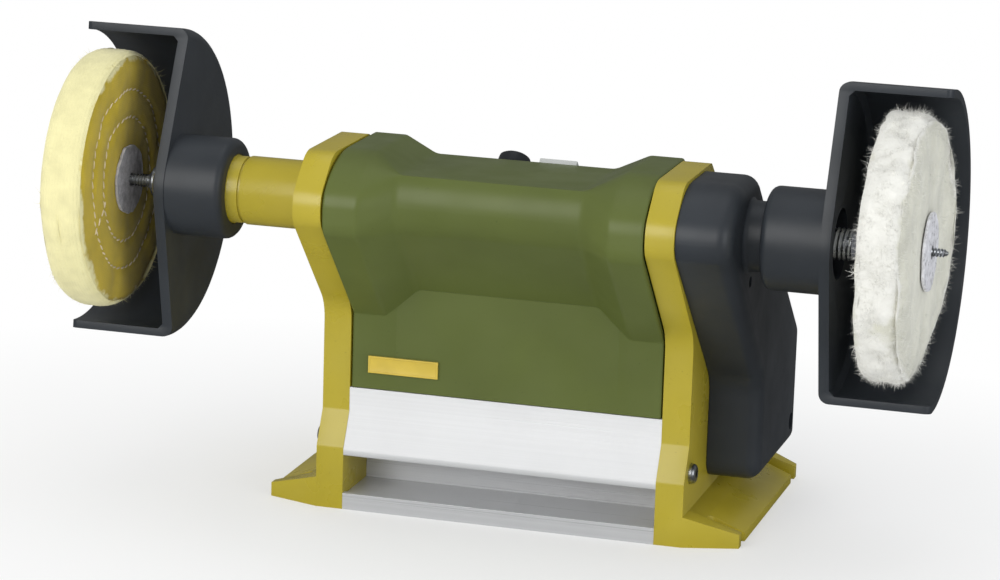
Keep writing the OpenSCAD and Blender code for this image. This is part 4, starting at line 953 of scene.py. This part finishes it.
def yellow_rim(share, angle):
    centre = abs(share - 0.5) * 2
    r = WHEEL_R + 0.6 - 2.1 * centre ** 5
    r -= 0.12 * abs(math.sin(math.pi * sizes().ply_count * share)) ** 0.5
    r += 0.35 * wave(angle, 2.0, 2.2, share * 1.5) + 0.16 * wave(angle, 6.0, 14.0, share * 9)
    worn = max(wave(angle, 11.0, 1.4), 0.0) * max(centre - 0.35, 0.0) * 2.6
    return 0.4 + (WHEEL_W - 0.8) * share, min(r - worn, WHEEL_R + 0.9)


def yellow_fray(zone, share, _r, angle):
    """Fringe along both edges of the stitched wheel, in patches."""
    if zone != "rim" or 0.07 < share < 0.93:
        return 0.0
    return max(math.cos(angle + 1.25), 0.0) ** 2 + max(wave(angle, 41.0, 2.3) * 1.5, 0.0)


def splay(angle):
    """How far the soft wheel's outer layers lean out, in millimetres."""
    return 5.2 * max(math.cos(angle - 0.2), 0.0) ** 1.5


def white_relief(r, angle, zone):
    seed = 13.7 if zone == "near" else 17.2
    waves = 1.5 * wave(angle, seed, 1.3, r / 45) + 1.1 * wave(angle, seed + 3, 3.1, r / 22)
    waves += 0.6 * crumple(r, angle, 0.2, 0.16, seed)
    depth = 0.6 + clamped((r - 15) / 16) * waves + 0.12 * crumple(r, angle, 1.1, 1.0)
    if zone == "near":
        return max(depth, 0.02)
    if r > 36:
        depth += (r - 36) ** 2 * 0.016
    return max(depth, 0.02) - splay(angle) * (max(r - 32.0, 0.0) / 17.0) ** 2


def white_rim(share, angle):
    centre = abs(share - 0.5) * 2
    r = WHEEL_R - 2.6 * centre ** 4
    r += 2.4 * wave(angle, 4.0, 2.2, share * 0.8) + 1.5 * wave(angle, 9.0, 5.0, share * 1.5)
    r += 0.5 * wave(angle, 14.0, 16.0, share * 3) + 0.15 * wave(angle, 20.0, 45.0, share * 16)
    depth = (WHEEL_W - 1.3) * share - 1.9 + 0.9 * wave(angle, 30.0, 4.0, share * 2)
    return depth + splay(angle) * share ** 1.5, min(r, WHEEL_R + 2.5)


def white_fray(zone, _share, r, _angle):
    if zone == "rim":
        return 1.0
    return 0.5 if r > 43 else 0.06 if r > 26 else 0.0


def face_path(zone, path):
    """Path just proud of a face of the stitched wheel."""
    made = []
    for y, z in path:
        depth = yellow_relief(math.hypot(y, z), math.atan2(z, y), zone) - 0.08
        depth = depth if zone == "near" else WHEEL_W - depth
        made.append((-LEFT_WHEEL - depth, SPINDLE_Y + y, SPINDLE_Z + z))
    return made


def stitch_lines():
    """Object of the seams on both faces of the stitched wheel: two rings and the joint."""
    points, edges = [], []
    for path in [circle(r, 120) for r in STITCH_RINGS] + [THREAD_JOINT]:
        for zone in ("near", "far"):
            first = len(points)
            points += face_path(zone, path)
            edges += [(k, k + 1) for k in range(first, len(points) - 1)]
            if path is not THREAD_JOINT:
                edges.append((len(points) - 1, first))
    return from_points("yellow_stitching", points, edges)


def loose_threads():
    """A few frayed ends that hang off the stitched wheel's rim, thinner at their own ends."""
    rng, parts = random.Random(21), []
    count, reach, thickness, last = 6, 4.5, 0.16, 8
    for _ in range(count):
        angle = rng.uniform(0, 2 * math.pi)
        x = LEFT_WHEEL + rng.uniform(1.5, WHEEL_W - 1.5)
        r, path, rings = WHEEL_R - 0.8, [], []
        bend, drift = rng.uniform(-0.05, 0.05), rng.uniform(-0.5, 0.5)
        for step in range(last + 1):
            path.append(Vector(on_spindle(-x - drift * step * 0.3, r, angle)))
            r += reach / last * (0.25 + 0.5 * rng.random()) * (1 if step < 6 else 0.3)
            angle += bend * (0.6 + 0.4 * step)
        for i, spot in enumerate(path):
            way = (path[min(i + 1, last)] - path[max(i - 1, 0)]).normalized()
            one = way.orthogonal().normalized()
            other, thick = way.cross(one), thickness * (0.45 if i in (0, last) else 1.0)
            rings.append([spot + (one * math.cos(a) + other * math.sin(a)) * thick for a in around(6)])
        parts.append(solid("loose", *loft(rings)))
    return parts


def build_yellow_wheel():
    own = sizes()

    def cloth_piece(made, look, node=None):
        finished(made, "spindle", look, node, 60)

    made = cloth_wheel("yellow_wheel", LEFT_WHEEL, -1, yellow_relief, yellow_rim, yellow_fray)
    fringe = new_object("yellow_fringe", made.data.copy())
    grown(fringe, "Fluff", "Yellow fibre", density=130e4, length=3.6 * MM, seed=3)
    cloth_piece(fringe, "Yellow fibre")
    cloth_piece(made, "Yellow cloth", "left_wheel")
    threads = grown(stitch_lines(), "Stitch line", "Yellow thread", pitch=own.stitch_pitch,
                    length=own.stitch_length, width=own.stitch_width, slant=0.25, seed=4)
    cloth_piece(threads, "Yellow thread")
    cloth_piece(joined("yellow_loose_threads", loose_threads()), "Yellow fibre")


def build_white_wheel():
    own = sizes()
    made = cloth_wheel("white_wheel", RIGHT_WHEEL, 1, white_relief, white_rim, white_fray)
    fluff = new_object("white_fluff", made.data.copy())
    grown(fluff, "Fluff", "White fibre", density=own.fluff_count * 1e4, length=own.fluff_length, seed=7)
    finished(made, "spindle", "White cloth", "right_wheel", 60)
    finished(fluff, "spindle", "White fibre", None, 60)


def disc(x, radius, side, dents, seed):
    """Centre disc with an uneven outline and dents, between radius BORE_R and radius."""
    rows = [BORE_R + (radius - 0.5 - BORE_R) * k / 14 for k in range(15)] + [radius - 0.1]
    profile = [(DISC_T, r) for r in rows] + [(DISC_T * 0.75, radius), (0.25, radius)]
    profile += [(0.0, r) for r in reversed(rows)]

    def shift(depth, r, angle):
        if depth > 0.5:
            y, z = math.cos(angle) * r * 0.22, math.sin(angle) * r * 0.22
            dent = noise.noise(Vector((y + seed, z, seed)))
            depth -= clamped((r - 5) / 5) * dents * (0.5 + 0.5 * dent)
        if r > radius - 0.6:
            r -= 1.5 * dents * (0.4 + wave(angle, seed, 2.0) + 0.5 * wave(angle, seed, 7.0)) - 0.3
        return x + side * depth, r

    return solid("disc", *turned(profile, 120, shift))


def build_discs():
    for node, name, wheel, side, radius, dents, look, slot in (
            ("left_wheel_discs", "yellow_wheel_discs", LEFT_WHEEL, -1, 13.6, 0.7,
             "Fibre disc", "grey_fibre"),
            ("right_wheel_discs", "white_wheel_discs", RIGHT_WHEEL, 1, 14.9, 0.6,
             "Light disc", "disc_metal")):
        parts = [disc(side * (wheel + out), radius, way, dents, seed)
                 for out, way, seed in ((0.0, -side, 3.3), (WHEEL_W, side, 6.1))]
        finished(joined(name, parts), "spindle", look, node, 40)


# Spindle ends

def threaded(rows, pitch, depth, side, steps):
    """Screw surface along X over (x, r) rows with the crest cut inwards by depth."""
    x0, x1 = rows[0][0], rows[-1][0]
    count = int((x1 - x0) / pitch * 9)

    def radius_at(x):
        for (xa, ra), (xb, rb) in zip(rows, rows[1:]):
            if x <= xb:
                return ra + (rb - ra) * (x - xa) / (xb - xa)
        return rows[-1][1]

    points = [(side * x0, SPINDLE_Y, SPINDLE_Z)]
    for j in range(count + 1):
        x = x0 + (x1 - x0) * j / count
        fade = min((x - x0) / pitch, (x1 - x) / pitch, 1.0)
        for k, angle in enumerate(around(steps)):
            phase = (x / pitch + side * k / steps) % 1.0
            r = radius_at(x) - depth * fade * abs(2 * phase - 1) - depth * 0.4 * (1 - fade)
            points.append(on_spindle(side * x, r, angle))
    points.append((side * x1, SPINDLE_Y, SPINDLE_Z))
    faces = [tuple(i + 1 for i in face) for face in skin(count + 1, steps)]
    last = 1 + count * steps
    for k in range(steps):
        ahead = (k + 1) % steps
        faces += [(0, 1 + ahead, 1 + k), (last + k, last + ahead, len(points) - 1)]
    return points, faces


# Node, start of its foot, its tip and its side of the machine
TAPER_POINTS = (("left_taper_point", 126.3, 178.4, -1), ("right_taper_point", 117.6, 169.6, 1))
FOOT_L, FOOT_R, FOOT_PITCH, FOOT_THREAD, POINT_THREAD = 17.0, 6.2, 1.75, 0.75, 0.45
SHOULDER = ((-0.3, 0.0), (-0.3, 6.1), (0.2, 5.8), (2.0, 3.1), (2.6, 2.55), (3.2, 0.0))


def build_spindle_ends():
    for node, start, tip, side in TAPER_POINTS:
        end = start + FOOT_L
        foot = threaded([(start, FOOT_R), (end, FOOT_R)], FOOT_PITCH, FOOT_THREAD, side, 48)
        shoulder = turned([(side * (end + out), r) for out, r in SHOULDER], 48)
        cone = threaded([(end + 2.0, 2.7), (tip - 1.5, 1.65), (tip, 0.7)], mm("point_pitch"),
                        POINT_THREAD, side, 28)
        made = joined(node + "_screw", [solid("part", *form) for form in (foot, shoulder, cone)])
        finished(made, "spindle", "Bright steel", node, 50)


# Knob and switch

# Height over the slope and radius of the knob, and the two corners of its pointer
KNOB_PROFILE = [(0.6, 0.0), (0.6, 6.7), (1.2, 6.9), (6.4, 6.35), (7.5, 6.1), (8.0, 5.4), (8.0, 5.0),
                (7.6, 4.6), (7.6, 0.0)]
POINTER = ((-0.35, 0.35), (1.5, 5.6), (7.5, 7.75))


def build_knob():
    steps = 72
    points = [(r * math.cos(a), r * math.sin(a), z) for a in around(steps) for z, r in KNOB_PROFILE]
    made = solid("knob", points, skin(steps, len(KNOB_PROFILE), True, False))
    grown(made, "Knob ribs", "Deep black moulding", count=24, ring=6.35 * MM, radius=0.42 * MM,
          height=6.0 * MM)
    finished(on_slope(made, KNOB_AT), "knob", "Deep black moulding", "speed_knob", 40)
    xs, ys, zs = POINTER
    block = solid("block", [(x, y, z) for x in xs for y in ys for z in zs],
                  [(0, 1, 3, 2), (4, 6, 7, 5), (0, 4, 5, 1), (2, 3, 7, 6), (0, 2, 6, 4), (1, 5, 7, 3)])
    bm = bmesh.new()
    bm.from_mesh(block.data)
    bpy.data.objects.remove(block)
    ease(bm, 0.1, 2)
    line = on_slope(from_bmesh("knob_pointer", bm), KNOB_AT)
    finished(line, "knob", "Grey frame")


def build_switch():
    dressed("switch_bezel", "switch_frame", "Grey frame", "grey_plastic", (0.35, 3))
    dressed("switch_rocker", "rocker_key", "Deep black moulding", "black_gloss", (0.4, 3),
            body="rocker")


# Fasteners

def heads(name, places, size, node):
    """Screw heads at places, each given with the way in which it stands out."""
    made = from_points(name, [place for place, _ in places])
    outward = made.data.attributes.new("outward", "FLOAT_VECTOR", "POINT").data
    for spot, (_, way) in zip(outward, places):
        spot.vector = way
    radius, height, socket = (value * MM for value in size)
    grown(made, "Screw heads", "Bright steel", radius=radius, height=height, socket=socket)
    finished(made, "machine", "Bright steel", node, 30)


def build_fasteners():
    plates = [((side * OUTER_X, y, z), (side, 0, 0)) for side in (-1, 1) for y, z in PLATE_SCREWS]
    covers = [((OUTER_X + SCREW_SINK, y, z), (1, 0, 0)) for y, z in COVER_SCREWS]
    rear = [(place, (0, 1, 0)) for place in REAR_SCREWS]
    heads("plate_screw_heads", plates, PLATE_HEAD, "plate_screws")
    heads("cover_screw_heads", covers, SMALL_HEAD, "cover_screws")
    heads("rear_screw_heads", rear, SMALL_HEAD, "rear_cover_screws")


# Rear cover and gland

def build_rear():
    dressed("rear_cover", "rear_panel", "Black moulding", "black_satin", (0.4, 2))
    dressed("cord_gland", "gland", "Deep black moulding", "black_satin", (0.4, 2))


# Inner works keep their solids and get a finish each

WORKS = {
    "Bright steel": "bearing_outer_rings bearing_balls motor_screws board_screws potentiometer_nut "
                    "spindle_shaft bearing_inner_rings pulley_set_screws spindle_clips motor_shaft "
                    "potentiometer_shaft",
    "Zinc plating": "motor_can motor_end_caps potentiometer_body",
    "Belt rubber": "drive_belt", "Ferrite": "motor_magnets", "Sintered bronze": "motor_bushes",
    "Brass": "brush_holders", "Carbon": "carbon_brushes", "Board green": "control_board",
    "Board parts": "board_components", "Turned aluminium": "spindle_pulley motor_pulley",
    "Deep black moulding": "switch_body gland_nut left_guard_screw right_guard_screw",
    "Copper bars": "motor_commutator", "Fan plastic": "motor_fan", "Wound armature": "motor_armature",
}


def build_works():
    for look, nodes in WORKS.items():
        for node in nodes.split():
            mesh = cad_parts[node].data
            mesh.materials.clear()
            mesh.materials.append(finish(look))


# Stage

FLOOR_HALF = 4000
# Name, place and target in metres, size, power in watts and colour
LAMPS = (
    ("Key", (-0.52, -1.75, 0.87), (0, -0.05, 0.08), (1.6, 1.3), 19.8, (1.0, 0.99, 0.97)),
    ("Fill", (1.7, -0.9, 0.5), (0, 0, 0.08), (1.0, 1.2), 8.5, (0.97, 0.98, 1.0)),
    ("Top", (0.0, 0.2, 1.8), (0, 0, 0.1), (1.2, 1.2), 2.5, (0.97, 0.98, 1.0)),
)
VIEW_PLACE = Vector((373.408, -1377.942, 416.738)) * MM
# Heading, dip and roll in degrees, then the lens and the width of the sensor
VIEW_TURN = (15.8761, 13.2463, 1.8067)
VIEW_LENS, VIEW_SENSOR = 132.408, 36.0


def stage_floor():
    corners = [(x * FLOOR_HALF, y * FLOOR_HALF, 0) for x, y in ((-1, -1), (1, -1), (1, 1), (-1, 1))]
    made = from_points("floor", corners, faces=[(0, 1, 2, 3)])
    make = Finish("Floor", 0.9)
    seen, glossy = make.rays()
    centred = make.moved(move=(0, 0.05, 0), scale=(0.8, 1.0, 1.0))
    far = make.put("ShaderNodeVectorMath", centred, operation="LENGTH", out="Value")
    fade = make.times(make.spread(far, 0.09, 0.32, 0.4), seen)
    make.feed("Base Color", make.blend(glossy, tint("#f2f2f2"), tint("#5c5c5c")))
    mix = make.put("ShaderNodeMixShader", fade, make.surface, make.put("ShaderNodeEmission"))
    make.put("ShaderNodeOutputMaterial", mix)
    made.data.materials.append(make.material)


def stage_world():
    world = bpy.data.worlds.new("Studio")
    bpy.context.scene.world = world
    world.use_nodes = True
    make = NodeMaker(world.node_tree)
    seen, glossy = make.rays()
    calm = make.put("ShaderNodeMath", glossy, -0.5, 0.7, operation="MULTIPLY_ADD")
    dim = make.put("ShaderNodeBackground", (0.97, 0.99, 1.0, 1), calm)
    plain = make.put("ShaderNodeBackground", (1, 1, 1, 1), 1.0)
    make.put("ShaderNodeOutputWorld", make.put("ShaderNodeMixShader", seen, dim, plain))


def lamp(name, place, target, size, power, tone):
    data = bpy.data.lights.new(name, "AREA")
    data.shape, data.energy, data.color = "RECTANGLE", power, tone
    data.size, data.size_y = size
    made = new_object(name, data)
    made.location = place
    made.rotation_euler = (Vector(target) - Vector(place)).to_track_quat("-Z", "Y").to_euler()


def stage_camera():
    heading, dip, roll = (math.radians(turn) for turn in VIEW_TURN)
    front = Vector((-math.sin(heading) * math.cos(dip), math.cos(heading) * math.cos(dip),
                    -math.sin(dip)))
    right = Vector((math.cos(heading), math.sin(heading), 0))
    up = right.cross(front)
    axes = (right * math.cos(roll) + up * math.sin(roll), up * math.cos(roll) - right * math.sin(roll),
            -front)
    data = bpy.data.cameras.new("View")
    data.lens, data.sensor_width = VIEW_LENS, VIEW_SENSOR
    data.clip_start, data.clip_end = 0.05, 30.0
    made = new_object("View", data)
    made.matrix_world = Matrix.Translation(VIEW_PLACE) @ Matrix(axes).transposed().to_4x4()
    bpy.context.scene.camera = made


def build_stage():
    stage_floor()
    stage_world()
    for values in LAMPS:
        lamp(*values)
    stage_camera()
    bpy.context.scene.view_settings.view_transform = "Standard"


# Operators

class LATHE_OT_finishes(bpy.types.Operator):
    """Make the materials of every piece"""

    bl_idname = "lathe.finishes"
    bl_label = "Finishes"

    def execute(self, context):
        make_finishes()
        return {"FINISHED"}


class LATHE_OT_end_plates(bpy.types.Operator):
    """Make the two end castings with their feet and the long tube"""

    bl_idname = "lathe.end_plates"
    bl_label = "End Castings"

    def execute(self, context):
        build_end_plates()
        return {"FINISHED"}


class LATHE_OT_base_profile(bpy.types.Operator):
    """Make the aluminium base with its open tray"""

    bl_idname = "lathe.base_profile"
    bl_label = "Base Extrusion"

    def execute(self, context):
        build_base_profile()
        return {"FINISHED"}


class LATHE_OT_housing(bpy.types.Operator):
    """Make the waisted housing and its bare badge"""

    bl_idname = "lathe.housing"
    bl_label = "Housing"

    def execute(self, context):
        build_housing()
        build_badge()
        return {"FINISHED"}


class LATHE_OT_belt_cover(bpy.types.Operator):
    """Make the belt cover with its neck"""

    bl_idname = "lathe.belt_cover"
    bl_label = "Belt Cover"

    def execute(self, context):
        build_belt_cover()
        return {"FINISHED"}


class LATHE_OT_guards(bpy.types.Operator):
    """Make the two wheel guards"""

    bl_idname = "lathe.guards"
    bl_label = "Wheel Guards"

    def execute(self, context):
        build_guards()
        return {"FINISHED"}


class LATHE_OT_yellow_wheel(bpy.types.Operator):
    """Make the stitched wheel with its threads"""

    bl_idname = "lathe.yellow_wheel"
    bl_label = "Stitched Wheel"

    def execute(self, context):
        build_yellow_wheel()
        return {"FINISHED"}


class LATHE_OT_white_wheel(bpy.types.Operator):
    """Make the soft wheel with its loose fibres"""

    bl_idname = "lathe.white_wheel"
    bl_label = "Soft Wheel"

    def execute(self, context):
        build_white_wheel()
        return {"FINISHED"}


class LATHE_OT_discs(bpy.types.Operator):
    """Make the centre discs of both wheels"""

    bl_idname = "lathe.discs"
    bl_label = "Centre Discs"

    def execute(self, context):
        build_discs()
        return {"FINISHED"}


class LATHE_OT_spindle_ends(bpy.types.Operator):
    """Make the threaded taper points"""

    bl_idname = "lathe.spindle_ends"
    bl_label = "Taper Points"

    def execute(self, context):
        build_spindle_ends()
        return {"FINISHED"}


class LATHE_OT_controls(bpy.types.Operator):
    """Make the speed knob and the rocker switch"""

    bl_idname = "lathe.controls"
    bl_label = "Knob and Switch"

    def execute(self, context):
        build_knob()
        build_switch()
        return {"FINISHED"}


class LATHE_OT_fasteners(bpy.types.Operator):
    """Make the heads of the screws that show"""

    bl_idname = "lathe.fasteners"
    bl_label = "Screws"

    def execute(self, context):
        build_fasteners()
        return {"FINISHED"}


class LATHE_OT_rear(bpy.types.Operator):
    """Make the rear cover and the cord gland"""

    bl_idname = "lathe.rear"
    bl_label = "Rear Cover"

    def execute(self, context):
        build_rear()
        return {"FINISHED"}


class LATHE_OT_works(bpy.types.Operator):
    """Give the motor, the bearings and the other inner pieces their finishes"""

    bl_idname = "lathe.works"
    bl_label = "Inner Works"

    def execute(self, context):
        build_works()
        return {"FINISHED"}


class LATHE_OT_stage(bpy.types.Operator):
    """Set up the floor, the lamps and the camera"""

    bl_idname = "lathe.stage"
    bl_label = "Stage"

    def execute(self, context):
        build_stage()
        return {"FINISHED"}


OPERATORS = (LATHE_OT_finishes, LATHE_OT_end_plates, LATHE_OT_base_profile, LATHE_OT_housing,
             LATHE_OT_belt_cover, LATHE_OT_guards, LATHE_OT_yellow_wheel, LATHE_OT_white_wheel,
             LATHE_OT_discs, LATHE_OT_spindle_ends, LATHE_OT_controls, LATHE_OT_fasteners,
             LATHE_OT_rear, LATHE_OT_works, LATHE_OT_stage)


class LATHE_PT_panel(bpy.types.Panel):
    """Sizes, colours and steps of the lathe"""

    bl_idname = "LATHE_PT_panel"
    bl_label = "Polishing Lathe"
    bl_space_type = "VIEW_3D"
    bl_region_type = "UI"
    bl_category = "Lathe"

    def draw(self, context):
        for group in (context.scene.lathe_sizes, context.scene.lathe_colours):
            box = self.layout.box()
            for name in group.__annotations__:
                box.prop(group, name)
        for operator in OPERATORS:
            self.layout.operator(operator.bl_idname)


CLASSES = (LatheSizes, LatheColours) + OPERATORS + (LATHE_PT_panel,)


def register():
    for made in CLASSES:
        bpy.utils.register_class(made)
    bpy.types.Scene.lathe_sizes = bpy.props.PointerProperty(type=LatheSizes)
    bpy.types.Scene.lathe_colours = bpy.props.PointerProperty(type=LatheColours)


def unregister():
    del bpy.types.Scene.lathe_colours
    del bpy.types.Scene.lathe_sizes
    for made in reversed(CLASSES):
        bpy.utils.unregister_class(made)


def main():
    register()
    for operator in OPERATORS:
        group, name = operator.bl_idname.split(".")
        getattr(getattr(bpy.ops, group), name)()


if __name__ == "__main__":
    main()
